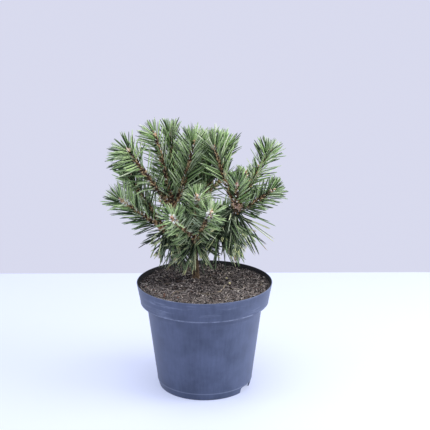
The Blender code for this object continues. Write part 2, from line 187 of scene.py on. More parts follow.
studio = {
    "floorHalf": 0.58,
    "floorCorner": 0.08,
    "cornerSteps": 24,
    "floorColour": (0.385, 0.415, 0.50),
    "floorGlow": (0.335, 0.370, 0.50),
    "floorRoughness": 0.6,
    # patches: scale, detail, roughness, and the grain values that give 0 and 1
    "mottle": (6.0, 3, 0.5, 0.3, 0.7),
    "mottleShade": 0.985,
    "skyColour": (0.727, 0.742, 0.900),
    "skyStrength": 0.95,
    # name: place, size, power in watts, colour
    "lamps": {
        "keyRight": ((1.15, -0.20, 0.75), 0.8, 15.8, (1.0, 0.98, 0.95)),
        "fillLeft": ((-1.25, -0.35, 0.75), 0.8, 2.2, (0.93, 0.96, 1.0)),
        "topSoft": ((-0.05, -0.15, 1.60), 0.80, 14.0, (1.0, 1.0, 1.0)),
    },
}


def makeStudio():
    bpy.ops.mesh.primitive_plane_add(size=studio["floorHalf"] * 2)
    floor = bpy.context.object
    floor.name = "floor"
    rounding = floor.modifiers.new("corners", "BEVEL")
    rounding.affect = "VERTICES"
    rounding.width = studio["floorCorner"]
    rounding.segments = studio["cornerSteps"]
    glow = {"Emission Color": studio["floorGlow"], "Emission Strength": 1.0}
    sheet = Sheet("floorPaper", {"Roughness": studio["floorRoughness"], **glow})
    mottle = sheet.patches(sheet.place(), *studio["mottle"])
    shade = tuple(part * studio["mottleShade"] for part in studio["floorColour"])
    sheet.paint("Base Color", sheet.blend(mottle, shade, studio["floorColour"]))
    floor.data.materials.append(sheet.material)
    world = bpy.data.worlds.new("sky")
    world.use_nodes = True
    background = world.node_tree.nodes["Background"]
    background.inputs["Color"].default_value = (*studio["skyColour"], 1.0)
    background.inputs["Strength"].default_value = studio["skyStrength"]
    bpy.context.scene.world = world
    target = Vector((0, 0, (cadLow[2] + cadHigh[2]) / 2))
    for name, (place, size, power, colour) in studio["lamps"].items():
        lamp = bpy.data.lights.new(name, "AREA")
        lamp.size = size
        lamp.energy = power
        lamp.color = colour
        made = bpy.data.objects.new(name, lamp)
        made.location = place
        made.rotation_euler = (target - Vector(place)).to_track_quat("-Z", "Y").to_euler()
        bpy.context.scene.collection.objects.link(made)
    bpy.context.scene.view_settings.view_transform = "Standard"
    print("camera, floor and lamps set")


# Mesh helpers

def unit(vectors):
    return vectors / np.linalg.norm(vectors, axis=-1, keepdims=True)


def heading(azimuth, elevation):
    a, e = math.radians(azimuth), math.radians(elevation)
    return np.array((math.cos(a) * math.cos(e), math.sin(a) * math.cos(e), math.sin(e)))


def deal(dice, mix, count):  # tones by how often each is dealt
    return dice.choice(len(mix), count, p=mix)


class Pile:  # many small shapes that become one joined piece
    def __init__(self):
        self.points = []
        self.faces = []
        self.tones = []
        self.count = 0

    def add(self, points, groups):  # several blocks of faces and tones on the same points
        for faces, tones in groups:
            self.faces += (faces + self.count).tolist()
            self.tones += np.broadcast_to(tones, len(faces)).tolist()
        self.points.append(points)
        self.count += len(points)

    def build(self, name, sheets, slot, nodes=()):
        mesh = bpy.data.meshes.new(name)
        mesh.from_pydata(np.concatenate(self.points).tolist(), [], self.faces)
        for sheet in sheets:
            mesh.materials.append(sheet.material)
        mesh.polygons.foreach_set("material_index", self.tones)
        mesh.shade_smooth()
        made = bpy.data.objects.new(name, mesh)
        bpy.context.scene.collection.objects.link(made)
        settle(made, nodes)
        print(f"{name}: {sum(len(face) - 2 for face in self.faces)} triangles")


def settle(made, nodes=()):
    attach(made, "root")
    if nodes:
        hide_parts(*nodes)


def ringFaces(rings, sides):  # quads between rings of points that run round a shape
    corner = np.arange(sides)
    following = (corner + 1) % sides
    rows = []
    for ring in range(rings - 1):
        low, high = ring * sides, (ring + 1) * sides
        rows.append(np.stack((low + corner, low + following, high + following, high + corner), 1))
    return np.concatenate(rows)


def endFaces(rings, sides):  # the two faces that close such a shape
    corner = np.arange(sides)
    return np.stack((corner[::-1], (rings - 1) * sides + corner))


def roundAngles(sides):
    return np.arange(sides) * (2 * math.pi / sides)


def crossAxes(runs):  # two directions square to each run, without a sudden turn between neighbours
    helper = np.eye(3)[np.argmin(np.abs(runs.reshape(-1, 3).mean(0)))]
    first = unit(np.cross(runs, helper))
    return first, np.cross(runs, first)


def sweep(pile, axis, radii, sides, tone, relief=None):
    runs = unit(np.gradient(axis, axis=0))
    first, second = crossAxes(runs)
    angles = roundAngles(sides)
    ring = first[:, None] * np.cos(angles)[:, None] + second[:, None] * np.sin(angles)[:, None]
    reach = np.repeat(np.asarray(radii)[:, None], sides, 1)
    if relief is not None:
        reach = reach + relief(axis[:, None] + ring * reach[..., None], angles)
    points = (axis[:, None] + ring * reach[..., None]).reshape(-1, 3)
    pile.add(points, [(ringFaces(len(axis), sides), tone), (endFaces(len(axis), sides), tone)])


anyWay = (0.31, 0.47, -0.83)  # a direction that is along no axis


def turnings(pile, roots, aims, lengths, widths, profile, sides, tones, flat=1.0, rolls=None):
    # many small turned shapes at once; profile pairs are shares of the length and of the half width
    count = len(roots)
    if count == 0:
        return
    shares, spans = np.array(profile).T
    first = unit(np.cross(aims, unit(aims + np.array(anyWay))))
    second = np.cross(aims, first)
    if rolls is not None:
        turned = first * np.cos(rolls)[:, None] + second * np.sin(rolls)[:, None]
        second = np.cross(aims, turned)
        first = turned
    angles = roundAngles(sides)[None, :, None]
    middles = roots[:, None] + aims[:, None] * (lengths[:, None] * shares)[..., None]
    ring = first[:, None] * np.cos(angles) + second[:, None] * np.sin(angles) * flat
    reach = (widths[:, None] / 2 * spans)[:, :, None, None]
    points = (middles[:, :, None] + ring[:, None] * reach).reshape(-1, 3)
    offsets = (np.arange(count) * (len(profile) * sides))[:, None, None]
    walls = (ringFaces(len(profile), sides)[None] + offsets).reshape(-1, 4)
    ends = (endFaces(len(profile), sides)[None] + offsets).reshape(-1, sides)
    tones = np.broadcast_to(tones, count)
    pile.add(points, [(walls, np.repeat(tones, len(walls) // count)), (ends, np.repeat(tones, 2))])


# How the plant grows: the same rule and sizes as in the solids

plant = {
    "trunkFoot": (-0.014, 0.011, 0.1783),
    "trunkTip": 0.250,
    "trunkLean": (-0.003, -0.008, 0.0),
    "trunkRadius": 0.0052,
    "trunkTipRadius": 0.0042,
    "flareRadius": 0.0095,
    "flareHeight": 0.0055,
    "boughRadius": 0.0034,
    "boughTipRadius": 0.0027,
    "hubRadius": 0.0044,
    "stemRadius": 0.0024,
    "stemTipRadius": 0.0017,
    "gap": 0.0003,
    "bendShare": 0.3,
    "dipShare": 0.35,
    "axisRings": 25,
    "trunkRings": 12,
    "skirtRings": 9,
}

# bough: height where it leaves the trunk (None is the tip), azimuth, elevation, length, dip at the root
boughs = {
    "front": (0.227, -88, 50, 0.052, 14),
    "left": (0.231, -175, 40, 0.067, 14),
    "right": (0.240, -8, 46, 0.099, 12),
    "middle": (None, 172, 58, 0.064, 4),
    "back": (0.247, 78, 60, 0.074, 16),
    "back_low": (0.226, 87, 39, 0.048, 12),
}

# shoot: bough, share of the bough where it stands, azimuth, elevation, length, dip at the root,
# needle length, splay of the needles at the foot and at the tip, mix of needle tones
shoots = {
    "shoot_left_high": ("middle", 1.0, -158, 53, 0.126, 15, 0.045, 60, 72, "sunny"),
    "shoot_left_leader": ("middle", 1.0, -172, 77, 0.127, -8, 0.036, 52, 46, "plain"),
    "shoot_left_rear": ("middle", 1.0, 96, 71, 0.124, 26, 0.035, 44, 34, "deep"),
    "shoot_centre_high": ("middle", 1.0, -10, 72, 0.113, 30, 0.044, 48, 40, "bright"),
    "shoot_right_leader": ("right", 1.0, 178, 70, 0.108, 8, 0.043, 48, 42, "plain"),
    "shoot_right_high": ("right", 1.0, 20, 57, 0.106, 10, 0.035, 58, 46, "bright"),
    "shoot_right_front": ("right", 1.0, -90, 48, 0.069, 20, 0.034, 50, 30, "deep"),
    "shoot_right_rear": ("right", 1.0, 70, 40, 0.071, 14, 0.027, 46, 52, "deep"),
    "shoot_right_low": ("right", 0.86, -16, 33, 0.085, 16, 0.032, 50, 40, "deep"),
    "shoot_front_left": ("front", 1.0, -122, 36, 0.082, 12, 0.034, 50, 58, "frosted"),
    "shoot_front_right": ("front", 1.0, -67, 42, 0.085, 12, 0.033, 54, 64, "frosted"),
    "shoot_front_upper": ("front", 1.0, -84, 67, 0.082, -8, 0.032, 50, 60, "frosted"),
    "shoot_left_low": ("left", 1.0, -159, 37, 0.088, 12, 0.041, 50, 62, "frosted"),
    "shoot_left_middle": ("left", 1.0, 151, 51, 0.104, 6, 0.038, 46, 42, "shaded"),
    "shoot_back_right": ("back", 1.0, 0, 65, 0.103, 20, 0.043, 46, 40, "plain"),
    "shoot_back_leader": ("back", 1.0, 42, 81, 0.096, -4, 0.044, 44, 36, "plain"),
    "shoot_back_rear": ("back", 1.0, 112, 54, 0.088, 22, 0.036, 46, 44, "plain"),
    "shoot_back_low": ("back", 1.0, 44, 30, 0.074, 8, 0.034, 46, 44, "plain"),
    "shoot_low_left": ("back_low", 1.0, 140, 28, 0.090, 12, 0.036, 46, 44, "plain"),
    "shoot_low_right": ("back_low", 1.0, 48, 12, 0.085, 4, 0.036, 46, 44, "plain"),
    "shoot_low_rear": ("back_low", 1.0, 95, 34, 0.085, 4, 0.036, 46, 44, "plain"),
}

# where the needles towards the tip of some shoots reach further to one side
pulls = {
    "shoot_left_high": (-0.58, 0.0, -0.18),
    "shoot_left_leader": (-0.52, 0.0, -0.12),
    "shoot_centre_high": (-0.28, 0.0, 0.14),
    "shoot_left_low": (-0.14, 0.0, 0.44),
    "shoot_right_high": (-0.28, 0.0, 0.14),
    "shoot_right_front": (0.0, 0.0, 0.74),
    "shoot_right_low": (0.06, 0.0, 0.06),
}

# shoots that carry more needles than the others
fullness = {
    "shoot_left_high": 1.35,
    "shoot_left_low": 1.25,
    "shoot_centre_high": 1.20,
    "shoot_right_front": 1.20,
    "shoot_right_low": 1.25,
}

# skirt of old needles: bough, the shares of the bough between which it sits, needle length, spacing,
# mix of tones, how much the needles are turned down
skirts = {
    "skirt_front": ("front", 0.62, 1.0, 0.061, 0.00021, "mixed", 0.14),
    "skirt_left": ("left", 0.40, 1.0, 0.059, 0.00015, "dark", 0.12),
    "skirt_right": ("right", 0.50, 1.0, 0.086, 0.00013, "dark", 0.26),
    "skirt_middle": ("middle", 0.34, 0.92, 0.048, 0.00060, "mixed", 0.14),
    "skirt_back": ("back", 0.40, 1.0, 0.056, 0.00040, "mixed", 0.14),
    "skirt_back_low": ("back_low", 0.40, 1.0, 0.052, 0.00036, "mixed", 0.14),
}


def limbAxis(start, first, end):  # leaves start along first and soon bends towards end
    bend = start + first * (np.linalg.norm(end - start) * plant["bendShare"])
    share = np.linspace(0, 1, plant["axisRings"])[:, None]
    return (start + (bend - start) * share) * (1 - share) + (bend + (end - bend) * share) * share


def alongAxis(axis, shares):
    spot = np.clip(shares, 0, 1) * (len(axis) - 1)
    index = np.minimum(spot.astype(int), len(axis) - 2)
    step = axis[index + 1] - axis[index]
    return axis[index] + step * (spot - index)[:, None], unit(step)


def trunkPoint(height):
    foot = np.array(plant["trunkFoot"])
    share = (height - foot[2]) / (plant["trunkTip"] - foot[2])
    point = foot + np.array(plant["trunkLean"]) * share * share
    point[2] = height
    return point


def trunkRadius(height):
    foot = plant["trunkFoot"][2]
    share = (height - foot) / (plant["trunkTip"] - foot)
    flare = (plant["flareRadius"] - plant["trunkRadius"]) * np.exp((foot - height) / plant["flareHeight"])
    return plant["trunkRadius"] + (plant["trunkTipRadius"] - plant["trunkRadius"]) * share + flare


def stemRadius(shares):
    return plant["stemRadius"] + (plant["stemTipRadius"] - plant["stemRadius"]) * shares


def boughAxis(name):
    height, azimuth, elevation, length, dip = boughs[name]
    first = heading(azimuth, elevation - dip)
    steep = math.radians(elevation - dip)
    if height is None:
        reach = plant["trunkTipRadius"] + plant["gap"]
        start = trunkPoint(plant["trunkTip"]) + first * reach
    else:
        clear = trunkRadius(height) + plant["gap"] + plant["boughRadius"] * math.sin(steep)
        reach = clear / math.cos(steep)
        start = trunkPoint(height + plant["boughRadius"]) + heading(azimuth, 0) * clear
        start[2] = height
    return limbAxis(start, first, start - first * reach + heading(azimuth, elevation) * length)


def shootAxis(name):
    bough, share, azimuth, elevation, length, dip = shoots[name][:6]
    first = heading(azimuth, elevation - dip * plant["dipShare"])
    points, runs = alongAxis(boughAxes[bough], np.array([share]))
    if share >= 1:
        reach = plant["hubRadius"] + plant["gap"]
    else:
        lean = abs(first @ runs[0])
        reach = (plant["boughRadius"] + plant["gap"]) / math.sqrt(1 - lean * lean)
    return limbAxis(points[0] + first * reach, first, points[0] + heading(azimuth, elevation) * length)


def skirtAxis(name):
    bough, low, high = skirts[name][:3]
    return alongAxis(boughAxes[bough], np.linspace(low, high, plant["skirtRings"]))[0]


boughAxes = {name: boughAxis(name) for name in boughs}
shootAxes = {name: shootAxis(name) for name in shoots}
skirtAxes = {name: skirtAxis(name) for name in skirts}
trunkHeights = np.linspace(plant["trunkFoot"][2], plant["trunkTip"], plant["trunkRings"])
trunkAxis = np.array([trunkPoint(height) for height in trunkHeights])


# Needle space: how near a needle may come to other stems, limbs, the soil and the box of the solids

space = {
    "stemClear": 0.0030,
    "limbClear": 0.0010,
    "soilClear": 0.0020,
    # how far a needle may be on a rival's side
    "trespass": 0.016,
    # each needle is checked at so many points, against the other stems from the third on
    "checks": 9,
    "firstStemCheck": 3,
    # the share of a needle that has to be free, and the share that has to fit in the box
    "shortest": 0.70,
    "boxShortest": 0.50,
    "boxMargin": (0.0045, 0.0036, 0.0100),  # how far past the box they may reach
    # the share that may cross the sky gaps
    "strays": 0.14,
    "axisStep": 3,
}

# gaps where the photograph shows sky: centre and half size by pixel, and a shoot that may cross it
skyGaps = {
    "leftSliver": (146.6, 160, 3.4, 9, ""),
    "leftNotch": (109, 174.5, 9.5, 4.0, ""),
    "leftTop": (125.0, 122.5, 9.0, 8.5, ""),
    "leftSlits": (154.5, 162, 5.0, 9, "shoot_left_leader"),
    "topNotch": (181, 131, 1.0, 6, ""),
    "rightNotch": (246.5, 148, 8.0, 14, ""),
    "rightNotchFoot": (243, 158, 9.5, 7.5, ""),
    "rightNotchSide": (233, 166, 3.6, 5.5, ""),
    "windowTop": (217.0, 186.0, 5.2, 7.6, ""),
    "windowMiddle": (216, 190, 5.0, 6.0, "shoot_right_leader"),
    "windowFoot": (223, 196, 2.4, 3.2, "shoot_right_leader"),
    "leftWindow": (157.5, 200, 4.0, 6.0, ""),
    "lowRight": (249, 255, 2.6, 7.0, ""),
    "lowMiddle": (227, 257, 4.0, 4.0, ""),
    "lowNear": (220, 245, 2.0, 3.0, ""),
    "underFront": (197.5, 254, 1.6, 3.0, ""),
    "underRight": (211, 257, 3.0, 3.4, ""),
    "underLeft": (167, 254, 3.6, 4.0, ""),
}

# what shows between the needles: the size by pixel that is kept clear, and how strictly
clearViews = {
    "stem": (1.8, 0.78),
    "bud": (2.4, 0.95),
    "frontKnot": (3.2, 0.60),
    "rightKnot": (5.4, 0.92),
    "nearer": 0.004,  # how far a needle lies in front before it counts
}
stemsShown = ("left_high", "left_leader", "centre_high", "right_leader", "right_front", "right_low",
              "front_left", "front_right", "left_low", "left_middle")
budsShown = ("left_leader", "right_leader", "right_rear", "right_low", "front_left", "front_right",
             "front_upper", "left_low")
knotsShown = ("front", "right")


class Room:  # what stands round a needle, and what the camera has to see past it
    def __init__(self):
        starts, runs, owners, radii = [], [], [], []

        def take(name, axis, radius):
            starts.append(axis[:-1])
            runs.append(axis[1:] - axis[:-1])
            owners.extend([name] * (len(axis) - 1))
            radii.extend([radius] * (len(axis) - 1))

        take("trunk", trunkAxis, plant["trunkRadius"])
        for name, axis in boughAxes.items():
            take(name, axis[::space["axisStep"]], plant["boughRadius"])
        for name, axis in shootAxes.items():
            take(name, axis[::space["axisStep"]], 0.0)
        self.starts = np.concatenate(starts)
        self.runs = np.concatenate(runs)
        self.squares = (self.runs ** 2).sum(1)
        self.owners = np.array(owners)
        self.radii = np.array(radii)
        self.views = self.findViews()

    def distances(self, points):
        away = points[:, None] - self.starts
        share = np.clip((away * self.runs).sum(2) / self.squares, 0, 1)
        return np.linalg.norm(away - self.runs * share[..., None], axis=2)

    def findViews(self):  # pixel, depth, clear radius and strictness of each spot that shows
        spots, sizes = [], []
        for name in stemsShown:
            line = shootAxes["shoot_" + name]
            spots.extend(line)
            sizes.extend([clearViews["stem"]] * len(line))
        for name in budsShown:
            spots.append(shootAxes["shoot_" + name][-1])
            sizes.append(clearViews["bud"])
        for name in knotsShown:
            spots.append(boughAxes[name][-1])
            sizes.append(clearViews[name + "Knot"])
        return *toPixels(np.array(spots)), *np.array(sizes).T

    def offSky(self, owner, across, down):
        clear = np.ones(len(across), bool)
        for x, y, halfWidth, halfHeight, crosser in skyGaps.values():
            if owner != crosser:
                clear &= ((across - x) / halfWidth) ** 2 + ((down - y) / halfHeight) ** 2 > 1
        return clear

    def offViews(self, across, down, depth, draw):
        x, y, far, radius, strictness = self.views
        near = (across[:, None] - x) ** 2 + (down[:, None] - y) ** 2 < radius ** 2
        near &= depth[:, None] < far - clearViews["nearer"]
        return ~(near & (draw[:, None] < strictness)).any(1)

    def freeShare(self, owner, carrier, needles, dice):
        # how much of each needle keeps clear, from 0 to 1
        limb = self.radii > 0
        own = self.owners == owner
        rivals = ~limb & ~own
        others = limb & (self.owners != carrier)
        free = np.zeros(len(needles.roots))
        going = np.ones(len(needles.roots), bool)
        stray = dice.random(len(needles.roots)) < space["strays"]
        draw = np.tile(dice.random(len(needles.roots) // 2), 2)
        for i in range(1, space["checks"] + 1):
            share = i / space["checks"]
            points = needles.at(share)
            reach = self.distances(points)
            ok = points[:, 2] > soilHeight(points[:, 0], points[:, 1]) + space["soilClear"]
            ok &= (reach[:, others] > self.radii[others] + space["limbClear"]).all(1)
            ok &= (reach[:, rivals].min(1) > space["stemClear"]) | (i < space["firstStemCheck"])
            if own.any():
                ok &= reach[:, rivals].min(1) - reach[:, own].min(1) > -space["trespass"]
            across, down, depth = toPixels(points)
            ok &= stray | self.offSky(owner, across, down)
            ok &= self.offViews(across, down, depth, draw)
            going &= ok
            free[going] = share
        return free


# Needles

needle = {
    "width": 0.00155,
    "lengthSpread": (0.86, 1.06),
    "spacing": 0.00082,
    "bare": 1.5,  # radii of the knot that stay bare round it
    "crowding": 0.82,  # below 1 the needles crowd towards the tip
    "tipCut": 0.14,  # how much shorter the last needles are
    "splayJitter": 9,
    "turn": 137.5,
    "turnJitter": 14,
    "pairShift": 0.38,
    "pairSpread": 1.2,
    "twinShaded": 0.34,  # share of the pairs whose second needle is painted dark as shade
    "innerShade": 0.40,  # share of needles painted dark as shade at the foot of a shoot
    "paleFootFrom": 0.60,  # share of a frosted shoot where pale needle feet begin
    "tipShare": 0.3,  # share of the needles whose tip has a tone of its own
    # how late along the shoot the splay changes and the needles get shorter
    "splayCurve": 3,
    "cutCurve": 8,
    "rootDepth": 0.8,
    # a tuft of further pairs round the tip, from wide to steep
    "tuft": 28,
    "tuftFrom": 0.90,
    "tuftWide": 16,
    "tuftSteep": 0.42,
    "tuftCut": 0.33,
    "incurve": 0.02,
    "wander": 0.009,
    "frostedWander": 0.026,
    "pull": (0.0, 0.0, 0.13),
}

oldNeedle = {
    "lengthSpread": (0.76, 1.04),
    "width": 0.0018,
    "lowShare": 0.78,  # how long the innermost needles are beside the outermost
    "lowShade": 0.60,  # share of the needles whose lower half is painted dark as shade
    "splay": (50, 148),
    "shortBelow": (44, 84),
    "shortShare": 0.62,
    "yellowTips": 0.24,
    "brownTips": 0.15,
    "sag": 0.025,
    "pairShift": 0.32,
    "pairSpread": 1.0,
    "wander": 0.009,
    # most of those that would stand up are gone
    "topRise": 0.20,
    "topShare": 0.25,
}

# what the two needles of a bundle differ by
pair = {
    "lean": (0.2, 1.8),
    "lengthSpread": (0.97, 1.03),
    "widthSpread": (0.88, 1.1),
}

# tone: plain colour of the blade
leafTones = {
    "leafDeep": (0.028, 0.054, 0.018),
    "leafGreen": (0.240, 0.390, 0.136),
    "leafBright": (0.530, 0.715, 0.330),
    "leafGrey": (0.530, 0.640, 0.410),
    "leafPale": (0.720, 0.800, 0.560),
    "leafFoot": (0.400, 0.460, 0.270),
    "leafTip": (0.220, 0.320, 0.120),
    "leafFrost": (0.330, 0.425, 0.255),
}

oldTones = {
    "oldDeep": (0.018, 0.034, 0.015),
    "oldGreen": (0.200, 0.310, 0.130),
    "oldPale": (0.590, 0.665, 0.390),
    "oldYellow": (0.610, 0.650, 0.300),
    "oldBrown": (0.340, 0.260, 0.140),
    "oldFrost": (0.320, 0.390, 0.270),
}

leafDeep, leafGreen, _, _, leafPale, leafFoot, leafTip, leafFrost = range(len(leafTones))
oldDeep, _, _, oldYellow, oldBrown, oldFrost = range(len(oldTones))

# mix: how often each of the first five leaf tones is dealt to a pair of needles
leafMixes = {
    "sunny": (0.30, 0.24, 0.27, 0.11, 0.08),
    "bright": (0.14, 0.20, 0.38, 0.18, 0.10),
    "plain": (0.23, 0.25, 0.31, 0.12, 0.09),
    "deep": (0.36, 0.26, 0.20, 0.11, 0.07),
    "shaded": (0.54, 0.26, 0.10, 0.07, 0.03),
    "frosted": (0.20, 0.18, 0.32, 0.14, 0.16),
}

# and each of the first three old tones
oldMixes = {
    "mixed": (0.36, 0.24, 0.40),
    # painted shade: the dark mix darkens the skirts that lie in shade under the shoots
    "dark": (0.47, 0.29, 0.24),
}

# rings of a blade: share of its length, share of its width; and its half round section
bladeRings = ((0.0, 0.55), (0.12, 0.90), (0.50, 1.0), (0.85, 0.82), (0.96, 0.45))
bladeSection = ((-1.0, -0.34), (-0.55, 0.66), (0.55, 0.66), (1.0, -0.34))


class Needles:  # straight aims and small bends, so that a point lies at aim * share + bend * share squared
    def __init__(self, roots, aims, bends, crowns, lengths, widths, tones):
        self.roots, self.aims, self.bends, self.crowns = roots, aims, bends, crowns
        self.lengths, self.widths, self.tones = lengths, widths, tones

    def at(self, share):
        return self.roots + (self.aims * share + self.bends * share * share) * self.lengths[:, None]

    def only(self, keep):
        parts = (self.roots, self.aims, self.bends, self.crowns, self.lengths, self.widths, self.tones)
        return Needles(*(part[keep] for part in parts))

    def shorten(self, free):
        self.bends = self.bends * free[:, None]
        self.lengths = self.lengths * free


def fitBox(needles):  # shortens the needles that would leave the box of the solids
    runs = needles.aims * needles.lengths[:, None]
    margin = np.array(space["boxMargin"])
    limits = np.where(runs > 0, cadHigh + margin, cadLow - margin)
    share = np.clip(((limits - needles.roots) / runs).min(1), 0, 1)
    kept = needles.only(share > space["boxShortest"])
    kept.shorten(share[share > space["boxShortest"]])
    return kept


def addBlades(pile, needles, flatTone):
    # the flat side is away from the crown; tones are foot, lower half, upper half and tip
    count, sides = len(needles.roots), len(bladeSection)
    points = []
    for share, span in bladeRings:
        run = unit(needles.aims + 2 * needles.bends * share)
        across = unit(np.cross(run, needles.crowns))
        crown = np.cross(across, run)
        half = (needles.widths * span / 2)[:, None]
        for wide, high in bladeSection:
            points.append(needles.at(share) + (across * wide + crown * high) * half)
    points.append(needles.at(1.0))
    points = np.stack(points, 1)
    each = points.shape[1]
    offsets = (np.arange(count) * each)[:, None, None]
    walls = ringFaces(len(bladeRings), sides)
    last = (len(bladeRings) - 1) * sides
    tip = np.array([(last + i, last + (i + 1) % sides, each - 1) for i in range(sides)])
    foot = np.arange(sides)[::-1][None]
    wallTones = needles.tones[:, np.repeat(np.arange(needles.tones.shape[1]), sides)]
    flat = np.arange(wallTones.shape[1]) % sides == sides - 1
    flat[:sides] = False
    wallTones[:, flat] = flatTone
    groups = [
        ((walls[None] + offsets).reshape(-1, 4), wallTones.reshape(-1)),
        ((tip[None] + offsets).reshape(-1, 3), np.repeat(needles.tones[:, -1], sides)),
        ((foot[None] + offsets).reshape(-1, 4), needles.tones[:, 0]),
    ]
    pile.add(points.reshape(-1, 3), groups)


def evenShares(count):
    return (np.arange(count) + 0.5) / count


def spiral(count, dice):
    return np.arange(count) * needle["turn"] + dice.uniform(-1, 1, count) * needle["turnJitter"]


def sideways(runs, turns):  # directions square to a stem, turned round it
    first, second = crossAxes(runs)
    turns = np.radians(turns)[:, None]
    return first * np.cos(turns) + second * np.sin(turns)


def spokes(runs, splays, turns):  # directions that lean off a stem, and the square ones they lean to
    rings = sideways(runs, turns)
    splays = np.radians(splays)[:, None]
    return runs * np.cos(splays) + rings * np.sin(splays), rings


def dealTwin(tones, dice):  # painted shade: the second needle of a pair is often the darker one
    twin = tones.copy()
    twin[dice.random(len(tones)) < needle["twinShaded"], 1:] = leafDeep
    return twin


def pairUp(roots, aims, rings, form, bend, lengths, tones, wander, dice):
    # two needles for each bundle, flat sides together
    count = len(roots)
    tangents = unit(np.cross(aims, rings))
    lean = math.tan(math.radians(form["pairSpread"]) / 2)
    both = []
    for hand in (-1, 1):
        leaning = tangents * (lean * dice.uniform(*pair["lean"], count)[:, None]) * hand
        shift = tangents * (hand * form["width"] * form["pairShift"])
        twinTones = tones if hand < 0 else dealTwin(tones, dice)
        bends = bend + dice.normal(0, wander, aims.shape)
        twinLengths = lengths * dice.uniform(*pair["lengthSpread"], count)
        widths = form["width"] * dice.uniform(*pair["widthSpread"], count)
        aimed = unit(aims + leaning)
        both.append((roots + shift, aimed, bends, tangents * hand, twinLengths, widths, twinTones))
    return Needles(*(np.concatenate(parts) for parts in zip(*both)))


def settleNeedles(pile, room, owner, carrier, needles, flatTone, dice):
    # keeps what has room, and says which of the bundles show
    free = room.freeShare(owner, carrier, needles, dice)
    keep = free >= space["shortest"]
    kept = needles.only(keep)
    kept.shorten(free[keep])
    addBlades(pile, fitBox(kept), flatTone)
    return keep.reshape(2, -1).any(0)


def growShoot(name, room, needles, sheaths, scales, dice):
    axis = shootAxes[name]
    bough, length = shoots[name][0], shoots[name][4]
    needleLength, splayFoot, splayTip, mix = shoots[name][6:]
    frosted = mix == "frosted"
    full = fullness.get(name, 1.0)
    count, tuft = round(length / needle["spacing"] * full), round(needle["tuft"] * full)
    first = knot["radii"][bough] * needle["bare"] / length
    shares = first + (1 - first) * evenShares(count) ** needle["crowding"]
    splays = splayFoot + (splayTip - splayFoot) * shares ** needle["splayCurve"]
    shares = np.concatenate((shares, np.linspace(needle["tuftFrom"], 1, tuft)))
    wide, steep = splayTip + needle["tuftWide"], splayTip * needle["tuftSteep"]
    splays = np.concatenate((splays, np.linspace(wide, steep, tuft)))
    count += tuft
    splays += dice.uniform(-1, 1, count) * needle["splayJitter"]
    points, runs = alongAxis(axis, shares)
    aims, rings = spokes(runs, splays, spiral(count, dice))
    aims = unit(aims + np.array(pulls.get(name, needle["pull"])) * shares[:, None])
    roots = points + rings * (stemRadius(shares) * needle["rootDepth"])[:, None]
    cut = needle["tipCut"] * shares ** needle["cutCurve"]
    cut[-tuft:] = np.linspace(0, needle["tuftCut"], tuft)
    lengths = needleLength * dice.uniform(*needle["lengthSpread"], count) * (1 - cut)
    # painted shade: many needles near the foot of the shoot are dark
    paintedShadeMask = dice.random(count) < needle["innerShade"] * (1 - shares)
    body = np.where(paintedShadeMask, leafDeep, deal(dice, leafMixes[mix], count))
    body[-tuft:][body[-tuft:] == leafPale] = leafGreen
    # painted shade: the needle feet are dark, except the pale feet towards the tip of frosted shoots
    foot = np.where(frosted & (shares > needle["paleFootFrom"]), leafFoot, leafDeep)
    tip = np.where(dice.random(count) < needle["tipShare"], leafTip, body)
    tones = np.stack((foot, body, body, tip), 1)
    wander = needle["frostedWander" if frosted else "wander"]
    pairs = pairUp(roots, aims, rings, needle, runs * needle["incurve"], lengths, tones, wander, dice)
    shown = settleNeedles(needles, room, name, name, pairs, leafFrost, dice)
    growSheaths(sheaths, roots[shown], aims[shown], shares[shown] > sheath["youngFrom"], frosted, dice)
    growSheaths(sheaths, roots[~shown], aims[~shown], False, False, dice)
    growScales(scales, axis, length, dice)


def growSkirt(name, room, needles, sheaths, dice):
    bough, low, high, needleLength, spacing, mix, droop = skirts[name]
    count = round(boughs[bough][3] * (high - low) / spacing)
    shares = evenShares(count)
    points, runs = alongAxis(skirtAxes[name], shares)
    turns = spiral(count, dice)
    splays = dice.uniform(*oldNeedle["splay"], count)
    spans = np.interp(splays, oldNeedle["shortBelow"], (oldNeedle["shortShare"], 1.0))
    aims, rings = spokes(runs, splays, turns)
    aims = unit(aims - np.array((0, 0, droop)))
    stays = (aims[:, 2] < oldNeedle["topRise"]) | (dice.random(count) < oldNeedle["topShare"])
    points, aims, rings, shares, spans = (part[stays] for part in (points, aims, rings, shares, spans))
    count = len(points)
    roots = points + rings * plant["boughRadius"]
    body = deal(dice, oldMixes[mix], count)
    yellow, brown = (dice.random(count) < oldNeedle[tips] for tips in ("yellowTips", "brownTips"))
    tip = np.where(yellow, oldYellow, np.where(brown, oldBrown, body))
    # dice of its own, so that the shapes stay when this share changes
    dark = np.random.default_rng(count).random(count) < oldNeedle["lowShade"]
    # painted shade: the feet of the old needles are dark, and the lower half of many, near the bough
    tones = np.stack((np.full(count, oldDeep), np.where(dark, oldDeep, body), body, tip), 1)
    spans = spans * (oldNeedle["lowShare"] + (1 - oldNeedle["lowShare"]) * shares)
    lengths = needleLength * spans * dice.uniform(*oldNeedle["lengthSpread"], count)
    bend = np.array((0, 0, -oldNeedle["sag"]))
    pairs = pairUp(roots, aims, rings, oldNeedle, bend, lengths, tones, oldNeedle["wander"], dice)
    shown = settleNeedles(needles, room, name, bough, pairs, oldFrost, dice)
    growSheaths(sheaths, roots[shown], aims[shown], False, False, dice)


# Sheaths round the foot of each pair of needles, and the scales under them on the stem

